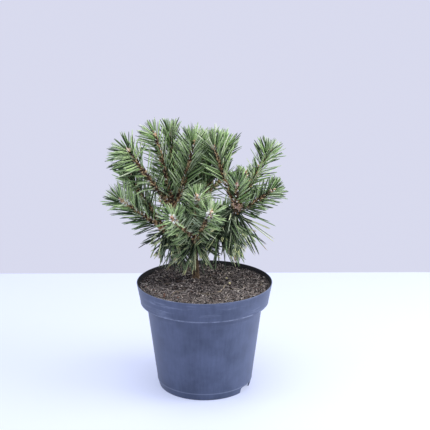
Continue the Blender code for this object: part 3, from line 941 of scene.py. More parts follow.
sheath = {
    "length": (0.0040, 0.0066),
    "width": 0.0023,
    "widthSpread": (0.85, 1.15),
    "profile": ((0.0, 0.80), (0.5, 1.0), (1.0, 0.76)),
    "sides": 5,
    "sunk": 0.0004,
    "youngFrom": 0.84,  # share of a shoot where young sheaths begin
    "youngWidth": 0.0019,
    "frostedWidth": 0.0027,
    "frostedLonger": 1.45,
    "tones": {
        "sheathSilver": (0.930, 0.930, 0.900),
        "sheathTan": (0.620, 0.470, 0.260),
        "sheathBrown": (0.070, 0.040, 0.024),
    },
    # how often each tone is dealt: to the old and the young ones, on plain and on frosted shoots
    "mixes": ((0.10, 0.46, 0.44), (0.40, 0.35, 0.25)),
    "frostedMixes": ((0.34, 0.30, 0.36), (0.80, 0.12, 0.08)),
}

scale = {
    "spacing": 0.00075,
    "length": 0.0048,
    "width": 0.0029,
    "spread": (0.7, 1.2),
    "lean": (0.15, 0.6),
    "rootDepth": 0.75,
    "rootBack": 0.3,
    "flatness": 0.5,
    "profile": ((0.0, 0.60), (0.35, 1.0), (0.75, 0.70), (1.0, 0.10)),
    "sides": 4,
    "tones": {
        "scaleRust": (0.400, 0.215, 0.100),
        "scaleTan": (0.700, 0.510, 0.300),
        "scaleDark": (0.032, 0.019, 0.014),
        "knotPink": (0.840, 0.620, 0.510),
    },
    # how often each of the first three is dealt
    "mix": (0.42, 0.20, 0.38),
}


def growSheaths(pile, roots, aims, young, frosted, dice):
    count = len(roots)
    mixes = sheath["frostedMixes" if frosted else "mixes"]
    old, fresh = (deal(dice, mix, count) for mix in mixes)
    longer = np.where(young & frosted, sheath["frostedLonger"], 1.0)
    lengths = dice.uniform(*sheath["length"], count) * longer
    youngWidth = sheath["frostedWidth" if frosted else "youngWidth"]
    widths = np.where(young, youngWidth, sheath["width"]) * dice.uniform(*sheath["widthSpread"], count)
    feet = roots - aims * sheath["sunk"]
    tones = np.where(young, fresh, old)
    turnings(pile, feet, aims, lengths, widths, sheath["profile"], sheath["sides"], tones)


def growScales(pile, axis, length, dice):
    count = round(length / scale["spacing"])
    shares = evenShares(count)
    points, runs = alongAxis(axis, shares)
    rings = sideways(runs, spiral(count, dice))
    roots = points + rings * (stemRadius(shares) * scale["rootDepth"])[:, None]
    roots -= runs * (scale["length"] * scale["rootBack"])
    aims = unit(runs + rings * dice.uniform(*scale["lean"], count)[:, None])
    lengths = scale["length"] * dice.uniform(*scale["spread"], count)
    widths = scale["width"] * dice.uniform(*scale["spread"], count)
    tones = deal(dice, scale["mix"], count)
    turnings(pile, roots, aims, lengths, widths, scale["profile"], scale["sides"], tones, scale["flatness"])


# Stems, buds and the knots at the bough tips

bud = {
    "length": 0.0105,
    "width": 0.0060,
    "sunk": 0.0052,
    "profile": ((0.0, 0.5), (0.12, 0.86), (0.3, 1.0), (0.5, 0.94), (0.7, 0.72), (0.86, 0.42), (1.0, 0.06)),
    "coreWidth": 0.9,
    "coreSides": 10,
    "coreTone": 1,
    "scaleRows": 5,
    "scalesPerRow": 5,
    # the first row's place and the room after the last, in rows, and the turn from row to row
    "rowStart": 0.3,
    "rowEnd": 0.9,
    "rowTurn": 36,
    # feet and ends of the scales: out from the middle, and on along the bud
    "scaleFoot": 0.40,
    "scaleEnd": 0.50,
    "scaleReach": 0.36,
    "scaleWidthReach": 0.3,
    "scaleStop": 1.04,
    "scaleWidth": 0.52,
    "scaleSides": 5,
    "scaleFlatness": 0.7,
    "sideLength": 0.0062,
    "sideWidth": 0.0034,
    "sideBuds": (1, 3),
    "sideLean": 34.0,
    "sideFoot": 0.30,
    "tones": {
        "budPink": (0.700, 0.410, 0.280),
        "budBrown": (0.420, 0.200, 0.120),
        "budResin": (0.820, 0.680, 0.560),
    },
    "mix": (0.45, 0.25, 0.30),
}


def axisEnd(axis):
    points, runs = alongAxis(axis, np.array([1.0]))
    return points[0], runs[0]


def growBud(pile, root, aim, length, width, dice):
    rowCount, perRow = bud["scaleRows"], bud["scalesPerRow"]
    count = rowCount * perRow
    core = np.array([width * bud["coreWidth"]])
    turnings(pile, root[None], aim[None], np.array([length]), core, bud["profile"], bud["coreSides"],
             bud["coreTone"])
    rows = np.repeat(np.arange(rowCount), perRow)
    shares = (rows + bud["rowStart"]) / (rowCount + bud["rowEnd"])
    turns = np.tile(np.arange(perRow), rowCount) * (360 / perRow) + rows * bud["rowTurn"]
    rings = sideways(np.tile(aim, (count, 1)), turns)
    places, spans = np.array(bud["profile"]).T
    foot = np.interp(shares, places, spans) * bud["scaleFoot"]
    end = np.interp(shares + bud["scaleWidthReach"], places, spans) * bud["scaleEnd"]
    endShares = np.minimum(shares + bud["scaleReach"], bud["scaleStop"])
    roots = root + aim * (length * shares)[:, None] + rings * (width * foot)[:, None]
    aims = root + aim * (length * endShares)[:, None] + rings * (width * end)[:, None] - roots
    reach = np.linalg.norm(aims, axis=1)
    widths = np.full(count, width * bud["scaleWidth"])
    tones = deal(dice, bud["mix"], count)
    turnings(pile, roots, unit(aims), reach, widths, scale["profile"], bud["scaleSides"], tones,
             bud["scaleFlatness"])


def growBuds(pile, axis, dice):
    end, run = axisEnd(axis)
    end = end - run * bud["sunk"]
    growBud(pile, end, run, bud["length"], bud["width"], dice)
    count = dice.integers(*bud["sideBuds"])
    turns = np.arange(count) * (360 / count) + dice.uniform(0, 360)
    for aim, ring in zip(*spokes(np.tile(run, (count, 1)), np.full(count, bud["sideLean"]), turns)):
        root = end + ring * (bud["width"] * bud["sideFoot"])
        growBud(pile, root, aim, bud["sideLength"], bud["sideWidth"], dice)


stemForm = {
    "sides": 10,
    "rings": 46,
    "footSwell": 1.25,
    "ripple": 0.00028,
    "rippleLength": 0.0032,
}


def overGrid(where, rule):
    return np.array([[rule(Vector(point)) for point in row] for row in where])


def stemHeight(where, angles):
    return overGrid(where, lambda point: noise.noise(point / stemForm["rippleLength"])) * stemForm["ripple"]


def growStem(pile, axis):
    share = np.linspace(0, 1, stemForm["rings"])
    points, _ = alongAxis(axis, share * (1 - bud["sunk"] / np.linalg.norm(axis[-1] - axis[0])))
    radii = stemRadius(share)
    radii[0] *= stemForm["footSwell"]
    sweep(pile, points, radii, stemForm["sides"], 0, stemHeight)


knot = {
    "radii": {
        "front": 0.0056,
        "left": 0.0052,
        "right": 0.0084,
        "middle": 0.0046,
        "back": 0.0054,
        "back_low": 0.0050,
    },
    # on a knot of the front one's size
    "bracts": 90,
    "rise": 0.3,
    "lift": (-0.75, 0.65),
    # a bract points outwards, along the bough and a little anywhere
    "outward": 0.55,
    "forward": 0.75,
    "anyway": 0.18,
    "bractFoot": 0.72,
    "bractLength": (0.004, 0.0080),
    "bractWidth": 0.0032,
    "bractSpread": (0.7, 1.2),
    "bractFlatness": 0.4,
    "bractSides": 5,
    "mixes": {"right": (0.06, 0.24, 0.08, 0.62)},
    "plainMix": (0.38, 0.34, 0.24, 0.04),
}

anyRoll = (0, 6.28)


def growKnot(pile, name, dice):
    end, run = axisEnd(boughAxes[name])
    radius = knot["radii"][name]
    end = end + run * radius * knot["rise"]
    count = round(knot["bracts"] * (radius / knot["radii"]["front"]) ** 2)
    lift = dice.uniform(*knot["lift"], count)
    rings = sideways(np.tile(run, (count, 1)), np.arange(count) * needle["turn"])
    out = unit(run * lift[:, None] + rings * np.sqrt(1 - lift ** 2)[:, None])
    stray = dice.normal(0, knot["anyway"], (count, 3))
    aims = unit(out * knot["outward"] + run * knot["forward"] + stray)
    lengths = dice.uniform(*knot["bractLength"], count)
    widths = knot["bractWidth"] * dice.uniform(*knot["bractSpread"], count)
    tones = deal(dice, knot["mixes"].get(name, knot["plainMix"]), count)
    feet = end + out * radius * knot["bractFoot"]
    turnings(pile, feet, aims, lengths, widths, scale["profile"], knot["bractSides"], tones,
             knot["bractFlatness"], dice.uniform(*anyRoll, count))


# Bark of the trunk and boughs

bark = {
    "trunkSides": 44,
    "trunkRings": 90,
    "boughSides": 26,
    "boughRings": 70,
    "flakeLength": 0.0040,
    "flakeStretch": 0.55,
    "flakeDepth": 0.00055,
    "flakeMiddle": 0.35,
    "furrow": 0.00035,
    "furrowScale": 2.3,
    "furrowNoise": (0.8, 2.0, 3),
    "rootRidges": 5,
    "rootRidge": 0.0012,
    "boughSunk": 0.9,
    "boughFootSwell": 1.25,
    # the swelling of a bough's tip, by the size of its knot
    "hubShare": 0.86,
    "swellReach": 1.1,
    # the rings that round off the ends, in degrees
    "trunkDome": (25, 50, 72, 84),
    "boughDome": (30, 55, 75, 86),
}


def barkHeight(where, angles):
    def rule(point):
        spot = point / bark["flakeLength"]
        spot.z *= bark["flakeStretch"]
        nearest, second = noise.voronoi(spot)[0][:2]
        furrow = noise.fractal(spot * bark["furrowScale"], *bark["furrowNoise"])
        return (second - nearest - bark["flakeMiddle"]) * bark["flakeDepth"] + furrow * bark["furrow"]
    return overGrid(where, rule)


def trunkHeight(where, angles):
    low = np.exp((plant["trunkFoot"][2] - where[..., 2]) / plant["flareHeight"])
    return barkHeight(where, angles) + np.cos(angles * bark["rootRidges"])[None] * bark["rootRidge"] * low


def domed(axis, radii, run, radius, turns):  # rounds off the end of a limb
    turns = np.radians(turns)
    ends = axis[-1] + np.sin(turns)[:, None] * run * radius
    return np.vstack((axis, ends)), np.concatenate((radii, radius * np.cos(turns)))


def growLimbs():
    pile = Pile()
    heights = np.linspace(plant["trunkFoot"][2], plant["trunkTip"], bark["trunkRings"])
    axis = np.array([trunkPoint(height) for height in heights])
    radii = [trunkRadius(height) for height in heights]
    axis, radii = domed(axis, radii, heading(0, 90), plant["trunkTipRadius"], bark["trunkDome"])
    sweep(pile, axis, radii, bark["trunkSides"], 0, trunkHeight)
    shares = np.linspace(0, 1, bark["boughRings"])
    foot, tip = plant["boughRadius"], plant["boughTipRadius"]
    for name, line in boughAxes.items():
        points, runs = alongAxis(line, shares)
        start = points[0] - runs[0] * foot * bark["boughSunk"]
        hub = knot["radii"][name] * bark["hubShare"]
        away = (1 - shares) * boughs[name][3]
        swell = (hub - tip) * np.exp(-((away / (hub * bark["swellReach"])) ** 2))
        radii = np.concatenate(([foot * bark["boughFootSwell"]], foot + (tip - foot) * shares + swell))
        points, radii = domed(np.vstack((start, points)), radii, runs[-1], hub, bark["boughDome"])
        sweep(pile, points, radii, bark["boughSides"], 0, barkHeight)
    pile.build("bark_limbs", [woodSheet("bark")], "bark", ["trunk"] + [f"bough_{name}" for name in boughs])


# Finishes of the plant

wood = {
    "specular": 0.3,
    # patches: detail, roughness, and the grain values that give 0 and 1
    "patch": (5, 0.65, 0.36, 0.64),
    "fleck": (3, 0.5, 0.58, 0.70),
    # how much finer than the patches the flecks and the bumps are
    "fleckFiner": 3.1,
    "bumpFiner": 5,
    "bumpDetail": 4,
    "bump": (0.35, 0.0004),
    "roughness": 0.92,
    "patchSmoother": 0.22,
    # dark and light wood, dust, scale of the patches
    "kinds": {
        "bark": ((0.026, 0.019, 0.013), (0.150, 0.096, 0.050), (0.420, 0.310, 0.170), 260.0),
        "stemBark": ((0.040, 0.020, 0.012), (0.130, 0.066, 0.032), (0.360, 0.240, 0.130), 420.0),
    },
}


def toneSheets(tones, roughness, specular=0.5):  # one plain finish for each tone
    fixed = {"Roughness": roughness, "Specular IOR Level": specular}
    return [Sheet(name, {"Base Color": colour, **fixed}) for name, colour in tones.items()]


def woodSheet(kind):
    dark, light, dust, size = wood["kinds"][kind]
    sheet = Sheet(kind, {"Specular IOR Level": wood["specular"]})
    where = sheet.place()
    patch = sheet.patches(where, size, *wood["patch"])
    fleck = sheet.patches(where, size * wood["fleckFiner"], *wood["fleck"])
    sheet.paint("Base Color", sheet.blend(fleck, sheet.blend(patch, dark, light), dust))
    sheet.paint("Roughness", wood["roughness"] - patch * wood["patchSmoother"])
    sheet.bump(sheet.grain(where, size * wood["bumpFiner"], wood["bumpDetail"]), *wood["bump"])
    return sheet


# Pot

pot = {
    "height": 0.180,
    "rimRadius": 0.1125,
    "bandHeight": 0.034,
    "bandRadius": 0.1063,
    "bodyRadius": 0.0966,
    "footTopRadius": 0.0800,
    "footRadius": 0.0769,
    "footHeight": 0.012,
    "wall": 0.0016,
    "padRadius": 0.048,
    "padSlope": 0.004,
    "floorLift": 0.011,
    "sides": 240,
    "corner": 0.0007,
    "beadHeight": 0.0011,
    "bead": 0.0005,
    "notchAzimuths": (-29, 151),
    "notchWidth": 0.032,
    "notchHeight": 0.0105,
    "notchCorner": 0.003,
    "notchDepth": 0.012,
    "notchSteps": 5,
    "bandStep": 0.0002,
    "footBead": 0.0004,
    "footStep": 0.0001,
    "footStepHeight": 0.0010,
    "footInset": 1.4,
    "cornerShares": (0.0, 0.25, 0.5, 0.75, 1.0),
    "cornerRoom": 0.45,  # the most that a corner takes of the edges beside it
    "mergeWithin": 0.00002,
    "sharpFrom": 32,
}

potFinish = {
    "specular": 0.6,
    "plain": (0.026, 0.043, 0.095),
    "worn": (0.076, 0.102, 0.188),
    "scuffAndHighlight": (0.240, 0.290, 0.410),
    "inside": (0.010, 0.010, 0.012),
    # patches: scale, detail, roughness, and the grain values that give 0 and 1
    "cloud": (22.0, 5, 0.65, 0.32, 0.68),
    "scratch": (1.0, 4, 0.6, 0.53, 0.70),
    "scratchStretch": (16.0, 16.0, 190.0),
    "speck": (620.0, 2, 0.5, 0.70, 0.78),
    "chipped": (55.0, 5, 0.7, 0.40, 0.62),
    "streak": (1.0, 4, 0.6),  # grain alone, spread in two ways below
    "streakStretch": (260.0, 260.0, 7.0),
    "streakWear": (0.35, 0.65),
    "streakRoughness": (0.3, 0.7),
    # the worn colour: shares of clouds and streaks, and painted shade that takes some of it away towards the
    # foot
    "cloudShare": 0.74,
    "streakShare": 0.26,
    "paintedShadeBelow": 0.06,
    "paintedFootShade": 0.30,
    # the colour of scuffs and painted highlights: a scuffed line at the band, a painted highlight along the
    # foot's top edge, a lighter line at the lip, specks, and scratches round the band
    "bandLine": (0.0004, 0.0017),
    "bandShare": 0.75,
    "footHighlightLine": (0.0002, 0.0012),
    "footHighlightShare": 0.35,
    "lipHeight": 0.0012,
    "lipShare": 0.30,
    "speckShare": 0.12,
    "scratchFrom": -0.02,
    "scratchTo": 0.008,
    "scratchShare": 0.75,
    # the inside, painted near black as shade: depth in the wall, height over the band's foot
    "insideDepth": (0.45, 0.75),
    "insideRise": 0.004,
    "roughness": 0.36,
    "cloudRougher": 0.10,
    "streakRougher": 0.08,
    "insideRougher": 0.45,
    "fineBump": (900.0, 2),
    "fineShare": 0.4,
    "bump": (0.12, 0.0002),
}


def roundedOutline(points, corner):  # cuts each inner corner of an outline into a short arc
    shaped = [points[0]]
    for before, here, after in zip(points, points[1:], points[2:]):
        here = Vector(here)
        back, on = Vector(before) - here, Vector(after) - here
        size = min(corner, back.length * pot["cornerRoom"], on.length * pot["cornerRoom"])
        start, end = here + back.normalized() * size, here + on.normalized() * size
        for share in pot["cornerShares"]:
            shaped.append(tuple(start.lerp(here, share).lerp(here.lerp(end, share), share)))
    return shaped + [points[-1]]


def potOutline():  # from the middle of the floor over the rim to the middle of the underside
    wall, top, bead, beadHeight = pot["wall"], pot["height"], pot["bead"], pot["beadHeight"]
    band, body, pad = pot["bandRadius"], pot["bodyRadius"], pot["padRadius"]
    foot, footHeight, lift = pot["footTopRadius"], pot["footHeight"], pot["floorLift"]
    bandBase, floorTop = top - pot["bandHeight"], lift + wall
    taper = (body - foot) / (bandBase - footHeight)
    return [
        (0, wall),
        (pad - wall, wall),
        (pad + pot["padSlope"] - wall, floorTop),
        (foot - wall + taper * (floorTop - footHeight), floorTop),
        (body - wall, bandBase + wall),
        (band - wall, bandBase + wall),
        (pot["rimRadius"] - wall, top),
        (pot["rimRadius"], top),
        (band + pot["bandStep"], bandBase + beadHeight * 2),
        (band + bead, bandBase + beadHeight),
        (band, bandBase),
        (body, bandBase),
        (foot + pot["footStep"], footHeight + pot["footStepHeight"]),
        (foot + pot["footBead"], footHeight),
        (pot["footRadius"], 0),
        (pot["footRadius"] - wall, 0),
        (foot - wall * pot["footInset"], lift),
        (pad + pot["padSlope"], lift),
        (pad, 0),
        (0, 0),
    ]


def notchCutter(azimuth):  # reaches as far below the pot as the notch is high
    bpy.ops.mesh.primitive_cube_add(size=1)
    cutter = bpy.context.object
    cutter.data.transform(Matrix.Diagonal((pot["notchDepth"], pot["notchWidth"], pot["notchHeight"] * 2, 1)))
    rounding = cutter.modifiers.new("corners", "BEVEL")
    rounding.width = pot["notchCorner"]
    rounding.segments = pot["notchSteps"]
    cutter.rotation_euler.z = math.radians(azimuth)
    cutter.location = Vector(heading(azimuth, 0)) * pot["footRadius"]
    return cutter


def makePot():
    mesh = bpy.data.meshes.new("pot_shell")
    outline = bmesh.new()
    corners = [outline.verts.new((x, 0, z)) for x, z in roundedOutline(potOutline(), pot["corner"])]
    for first, second in zip(corners, corners[1:]):
        outline.edges.new((first, second))
    outline.to_mesh(mesh)
    outline.free()
    made = bpy.data.objects.new("pot_shell", mesh)
    bpy.context.scene.collection.objects.link(made)
    screw = made.modifiers.new("turn", "SCREW")
    screw.steps = pot["sides"]
    screw.render_steps = pot["sides"]
    screw.use_merge_vertices = True
    screw.merge_threshold = pot["mergeWithin"]
    cutters = [notchCutter(azimuth) for azimuth in pot["notchAzimuths"]]
    for cutter in cutters:
        cut = made.modifiers.new("notch", "BOOLEAN")
        cut.operation = "DIFFERENCE"
        cut.solver = "EXACT"
        cut.object = cutter
    shell = bpy.data.meshes.new_from_object(made.evaluated_get(bpy.context.evaluated_depsgraph_get()))
    made.modifiers.clear()
    made.data = shell
    for cutter in cutters:
        bpy.data.objects.remove(cutter, do_unlink=True)
    shell.materials.clear()
    shell.materials.append(potSheet().material)
    shell.shade_smooth()
    shell.set_sharp_from_angle(angle=math.radians(pot["sharpFrom"]))
    settle(made, ["pot"])
    print("pot made:", len(shell.polygons), "faces")


def potSheet():
    look = potFinish
    sheet = Sheet("potPlastic", {"Specular IOR Level": look["specular"]})
    where = sheet.place()
    high = sheet.node("ShaderNodeSeparateXYZ", {}, {0: where}, 2)
    cloud, speck, chipped = (sheet.patches(where, *look[kind]) for kind in ("cloud", "speck", "chipped"))
    scratch = sheet.patches(where * look["scratchStretch"], *look["scratch"])
    streak = sheet.grain(where * look["streakStretch"], *look["streak"])
    top, bandBase = pot["height"], pot["height"] - pot["bandHeight"] + pot["beadHeight"]

    # painted shade: the worn colour fades towards the foot, so the pot is darker there
    paintedFootShade = sheet.span(high, 0.0, look["paintedShadeBelow"], look["paintedFootShade"], 0.0)
    wear = cloud * look["cloudShare"] + sheet.span(streak, *look["streakWear"]) * look["streakShare"] - paintedFootShade
    bandEdge = sheet.span(abs(high - bandBase), *look["bandLine"], 1.0, 0.0) * chipped
    # painted highlight: a light line along the foot's top edge
    footHighlight = sheet.span(abs(high - pot["footHeight"]), *look["footHighlightLine"], 1.0, 0.0)
    lip = sheet.span(high, top - look["lipHeight"], top, 0.0, look["lipShare"])
    nearBand = sheet.span(high, bandBase + look["scratchFrom"], bandBase + look["scratchTo"])
    scuffsAndHighlights = bandEdge * look["bandShare"] + footHighlight * look["footHighlightShare"] + lip + speck * look["speckShare"]
    scuffsAndHighlights = scuffsAndHighlights + scratch * nearBand * cloud * look["scratchShare"]
    tone = sheet.blend(scuffsAndHighlights, sheet.blend(wear, look["plain"], look["worn"]), look["scuffAndHighlight"])

    taper = (pot["rimRadius"] - pot["bandRadius"]) / pot["bandHeight"]
    flat = where * (1.0, 1.0, 0.0)
    reach = sheet.node("ShaderNodeVectorMath", {"operation": "LENGTH"}, {0: flat}, "Value")
    # painted shade: the inner wall above the band's foot is near black
    depth = pot["rimRadius"] - reach - (top - high) * taper
    paintedShadeMask = sheet.span(depth, *(pot["wall"] * share for share in look["insideDepth"]))
    paintedShadeMask = paintedShadeMask * sheet.span(high, bandBase, bandBase + look["insideRise"])
    sheet.paint("Base Color", sheet.blend(paintedShadeMask, tone, look["inside"]))
    streaked = sheet.span(streak, *look["streakRoughness"]) * look["streakRougher"]
    rough = look["roughness"] + cloud * look["cloudRougher"] + streaked
    sheet.paint("Roughness", rough + paintedShadeMask * look["insideRougher"])
    fine = sheet.grain(where, *look["fineBump"])
    sheet.bump(streak + fine * look["fineShare"], *look["bump"])
    return sheet


# Soil

lump = ((0.0, 0.45), (0.35, 1.0), (0.72, 0.90), (1.0, 0.35))
chip = ((0.0, 0.5), (0.15, 1.0), (0.85, 0.9), (1.0, 0.35))
thread = ((0.0, 0.7), (0.5, 1.0), (1.0, 0.5))

soil = {
    "edge": 0.173,
    "top": 0.178,
    "flatRadius": 0.050,
    "radius": 0.1102,
    "footRadius": 0.1066,
    "depth": 0.012,
    "collar": 0.0050,
    "collarRadius": 0.014,
    "rings": 120,
    "ringCurve": 0.8,  # below 1 the rings are closer at the edge
    "spokes": 300,
    "lumpSize": 0.011,
    "lump": 0.0025,
    "lumpNoise": (0.9, 2.0, 3),
    "grainSize": 0.0032,
    "grain": 0.0018,
    "grainNoise": (0.7, 2.1, 3),
    # painted shade: the soil is darker behind the trunk, in the crown's shade
    "backShadeFrom": -0.02,
    "backShadeTo": 0.05,
    "backShadeShare": 0.55,
}

peat = {
    "specular": 0.25,
    "dark": (0.018, 0.015, 0.014),
    "light": (0.140, 0.119, 0.110),
    "fleckColour": (0.420, 0.375, 0.345),
    # patches: scale, detail, roughness, and the grain values that give 0 and 1
    "patch": (160.0, 5, 0.7, 0.35, 0.65),
    "fleck": (700.0, 3, 0.5, 0.56, 0.70),
    "fleckShare": 0.75,
    "roughness": 0.95,
    "fleckSmoother": 0.15,
    "bumpGrain": (900.0, 4),
    "bump": (0.6, 0.0008),
}

soilBits = {
    "seed": 41,
    "roughness": 0.9,
    "specular": 0.25,
    "tones": {
        "peatBlack": (0.012, 0.011, 0.010),
        "peatBrown": (0.085, 0.070, 0.062),
        "peatGrey": (0.285, 0.255, 0.242),
        "chipTan": (0.510, 0.445, 0.395),
        "chipRust": (0.170, 0.095, 0.070),
        "chipPale": (0.600, 0.550, 0.490),
        "grainYellow": (0.780, 0.720, 0.380),
        "straw": (0.360, 0.300, 0.200),
    },
    "margin": 0.003,
    # a mix is how often each of the first six tones is dealt
    "crumbs": 3600,
    "crumbSize": (0.0009, 0.0028),
    "crumbCurve": 1.4,  # above 1 small crumbs are more frequent
    "crumbTilt": 0.6,
    "crumbLonger": (0.9, 1.5),
    "crumbFlatness": 0.75,
    "crumbSides": 5,
    "crumbMix": (0.60, 0.09, 0.13, 0.11, 0.03, 0.04),
    "chips": 650,
    "chipLength": (0.0025, 0.0060),
    "chipSlimness": (0.15, 0.32),
    "chipTilt": 0.3,
    "chipFlatness": 0.35,
    "chipSides": 5,
    "chipMix": (0.30, 0.16, 0.22, 0.18, 0.08, 0.06),
    "fibres": 900,
    "fibreLength": (0.004, 0.013),
    "fibreWidth": (0.0003, 0.0007),
    "fibreTilt": 0.18,
    "fibreLift": 0.0005,
    "fibreMargin": 0.007,
    "fibreSides": 4,
    "fibreMix": (0.1, 0.2, 0.25, 0.25, 0.15, 0.05),
    "roots": 120,
    "rootLength": (0.010, 0.030),
    "rootRadius": (0.00018, 0.00032),
    "rootCurl": (-1.6, 1.6),
    "rootSteps": 9,
    "rootFewest": 5,  # steps that have to lie on the soil
    "rootLift": 0.0006,
    "rootMargin": 0.012,
    "rootEndMargin": 0.004,
    "rootSides": 4,
    "rootTones": ("peatGrey", "chipTan", "chipPale", "straw"),
    # what the photograph shows on the soil: tone, pixels, then direction, length, width, form, sides
    # and flatness
    "placed": (
        ("grainYellow", ((226, 279), (229, 284)),
         ((0.6, 0.2, 0.77), 0.0032, 0.0034, lump, 10, 1.0)),
        ("chipPale", ((193, 283), (180.5, 287), (172, 285), (237, 291)),
         ((0.9, 0.1, 0.42), 0.0034, 0.0026, lump, 8, 1.0)),
        ("chipRust", ((164, 295),),
         ((0.1, 0.25, 0.96), 0.0075, 0.0040, chip, 6, 0.4)),
    ),
    "straw": ((225.0, 284.5), (224.0, 288.0), (221.0, 291.5), (217.5, 293.5)),
    "strawLift": 0.0016,
    "strawRadius": 0.00055,
    "strawSides": 6,
}


def soilHeight(x, y):
    reach = np.hypot(x, y)
    share = np.clip((soil["radius"] - reach) / (soil["radius"] - soil["flatRadius"]), 0, 1)
    mound = soil["edge"] + (soil["top"] - soil["edge"]) * share
    foot = plant["trunkFoot"]
    near = np.hypot(x - foot[0], y - foot[1]) / soil["collarRadius"]
    return mound + soil["collar"] * np.exp(-near ** 2)


def soilRelief(x, y):
    spot = Vector((x, y, 0.0))
    lumps = noise.fractal(spot / soil["lumpSize"], *soil["lumpNoise"]) * soil["lump"]
    return lumps + noise.fractal(spot / soil["grainSize"], *soil["grainNoise"]) * soil["grain"]


def peatSheet():
    sheet = Sheet("peat", {"Specular IOR Level": peat["specular"]})
    where = sheet.place()
    away = sheet.node("ShaderNodeSeparateXYZ", {}, {0: where}, 1)
    # painted shade: the ground and its flecks are darker behind the trunk
    outOfShade = sheet.span(away, soil["backShadeFrom"], soil["backShadeTo"], 1.0, 1.0 - soil["backShadeShare"])
    patch, fleck = (sheet.patches(where, *peat[kind]) for kind in ("patch", "fleck"))
    ground = sheet.blend(patch * outOfShade, peat["dark"], peat["light"])
    sheet.paint("Base Color", sheet.blend(fleck * outOfShade * peat["fleckShare"], ground, peat["fleckColour"]))
    sheet.paint("Roughness", peat["roughness"] - fleck * peat["fleckSmoother"])
    sheet.bump(sheet.grain(where, *peat["bumpGrain"]), *peat["bump"])
    return sheet


def makeSoilBed():
    rings, spokeCount = soil["rings"], soil["spokes"]
    points = []
    for i in range(1, rings + 1):
        reach = soil["radius"] * (i / rings) ** soil["ringCurve"]
        for j in range(spokeCount):
            angle = 2 * math.pi * j / spokeCount
            x, y = reach * math.cos(angle), reach * math.sin(angle)
            points.append((x, y, soilHeight(x, y) + soilRelief(x, y)))
    narrowing = soil["footRadius"] / soil["radius"]
    for x, y, _ in points[-spokeCount:]:
        points.append((x * narrowing, y * narrowing, soil["edge"] - soil["depth"]))
    pile = Pile()
    faces = ringFaces(rings + 1, spokeCount)[:, ::-1]
    pile.add(np.array(points), [(faces, 0), (endFaces(rings + 1, spokeCount)[:, ::-1], 0)])
    pile.build("soil_bed", [peatSheet()], "soil", ["soil"])


def soilSpots(dice, count, margin):
    reach = (soil["radius"] - margin) * np.sqrt(dice.random(count))
    turn = dice.uniform(0, 2 * math.pi, count)
    x, y = reach * np.cos(turn), reach * np.sin(turn)
    return np.stack((x, y, soilHeight(x, y) + np.array([soilRelief(a, b) for a, b in zip(x, y)])), 1)


def shadeBehindTrunk(tones, spots, dice):  # painted shade: behind the trunk many bits are black
    share = np.interp(spots[:, 1], (soil["backShadeFrom"], soil["backShadeTo"]), (0, soil["backShadeShare"]))
    return np.where(dice.random(len(tones)) < share, 0, tones)


def flatAims(dice, count, tilt):
    turn = dice.uniform(0, 2 * math.pi, count)
    return unit(np.stack((np.cos(turn), np.sin(turn), dice.normal(0, tilt, count)), 1))


def bitTone(name):
    return list(soilBits["tones"]).index(name)


def markOnSoil(pixel):
    point = onLevel(pixel, soil["top"])
    return np.array((point.x, point.y, float(soilHeight(point.x, point.y)) + soilRelief(point.x, point.y)))


def layCrumbs(pile, dice, bits):
    count, (small, large) = bits["crumbs"], bits["crumbSize"]
    sizes = small + (large - small) * dice.random(count) ** bits["crumbCurve"]
    spots = soilSpots(dice, count, bits["margin"])
    aims = flatAims(dice, count, bits["crumbTilt"])
    tones = shadeBehindTrunk(deal(dice, bits["crumbMix"], count), spots, dice)
    lengths = sizes * dice.uniform(*bits["crumbLonger"], count)
    turnings(pile, spots - aims * sizes[:, None] / 2, aims, lengths, sizes, lump, bits["crumbSides"], tones,
             bits["crumbFlatness"], dice.uniform(*anyRoll, count))


def layChips(pile, dice, bits):
    count = bits["chips"]
    sizes = dice.uniform(*bits["chipLength"], count)
    aims = flatAims(dice, count, bits["chipTilt"])
    spots = soilSpots(dice, count, bits["margin"])
    tones = shadeBehindTrunk(deal(dice, bits["chipMix"], count), spots, dice)
    widths = sizes * dice.uniform(*bits["chipSlimness"], count)
    turnings(pile, spots - aims * sizes[:, None] / 2, aims, sizes, widths, chip, bits["chipSides"], tones,
             bits["chipFlatness"], dice.uniform(*anyRoll, count))


def layFibres(pile, dice, bits):
    count = bits["fibres"]
    sizes = dice.uniform(*bits["fibreLength"], count)
    aims = flatAims(dice, count, bits["fibreTilt"])
    spots = soilSpots(dice, count, bits["fibreMargin"]) - aims * sizes[:, None] / 2
    widths = dice.uniform(*bits["fibreWidth"], count)
    tones = deal(dice, bits["fibreMix"], count)
    spots = spots + np.array((0, 0, bits["fibreLift"]))
    turnings(pile, spots, aims, sizes, widths, thread, bits["fibreSides"], tones)


def layRoots(pile, dice, bits):  # fine dry rootlets that lie on the soil in shallow curves
    steps = bits["rootSteps"]
    tones = [bitTone(name) for name in bits["rootTones"]]
    for start in soilSpots(dice, bits["roots"], bits["rootMargin"]):
        turn, curl = dice.uniform(0, 2 * math.pi), dice.uniform(*bits["rootCurl"])
        step = dice.uniform(*bits["rootLength"]) / steps
        angles = turn + curl * np.linspace(0, 1, steps)
        flat = start[:2] + np.cumsum(np.stack((np.cos(angles), np.sin(angles)), 1) * step, 0)
        flat = flat[np.hypot(flat[:, 0], flat[:, 1]) < soil["radius"] - bits["rootEndMargin"]]
        if len(flat) >= bits["rootFewest"]:
            heights = []
            for x, y in flat:
                heights.append(float(soilHeight(x, y)) + max(soilRelief(x, y), 0) + bits["rootLift"])
            line = np.column_stack((flat, heights))
            radii = np.full(len(flat), dice.uniform(*bits["rootRadius"]))
            sweep(pile, line, radii, bits["rootSides"], int(dice.choice(tones)))


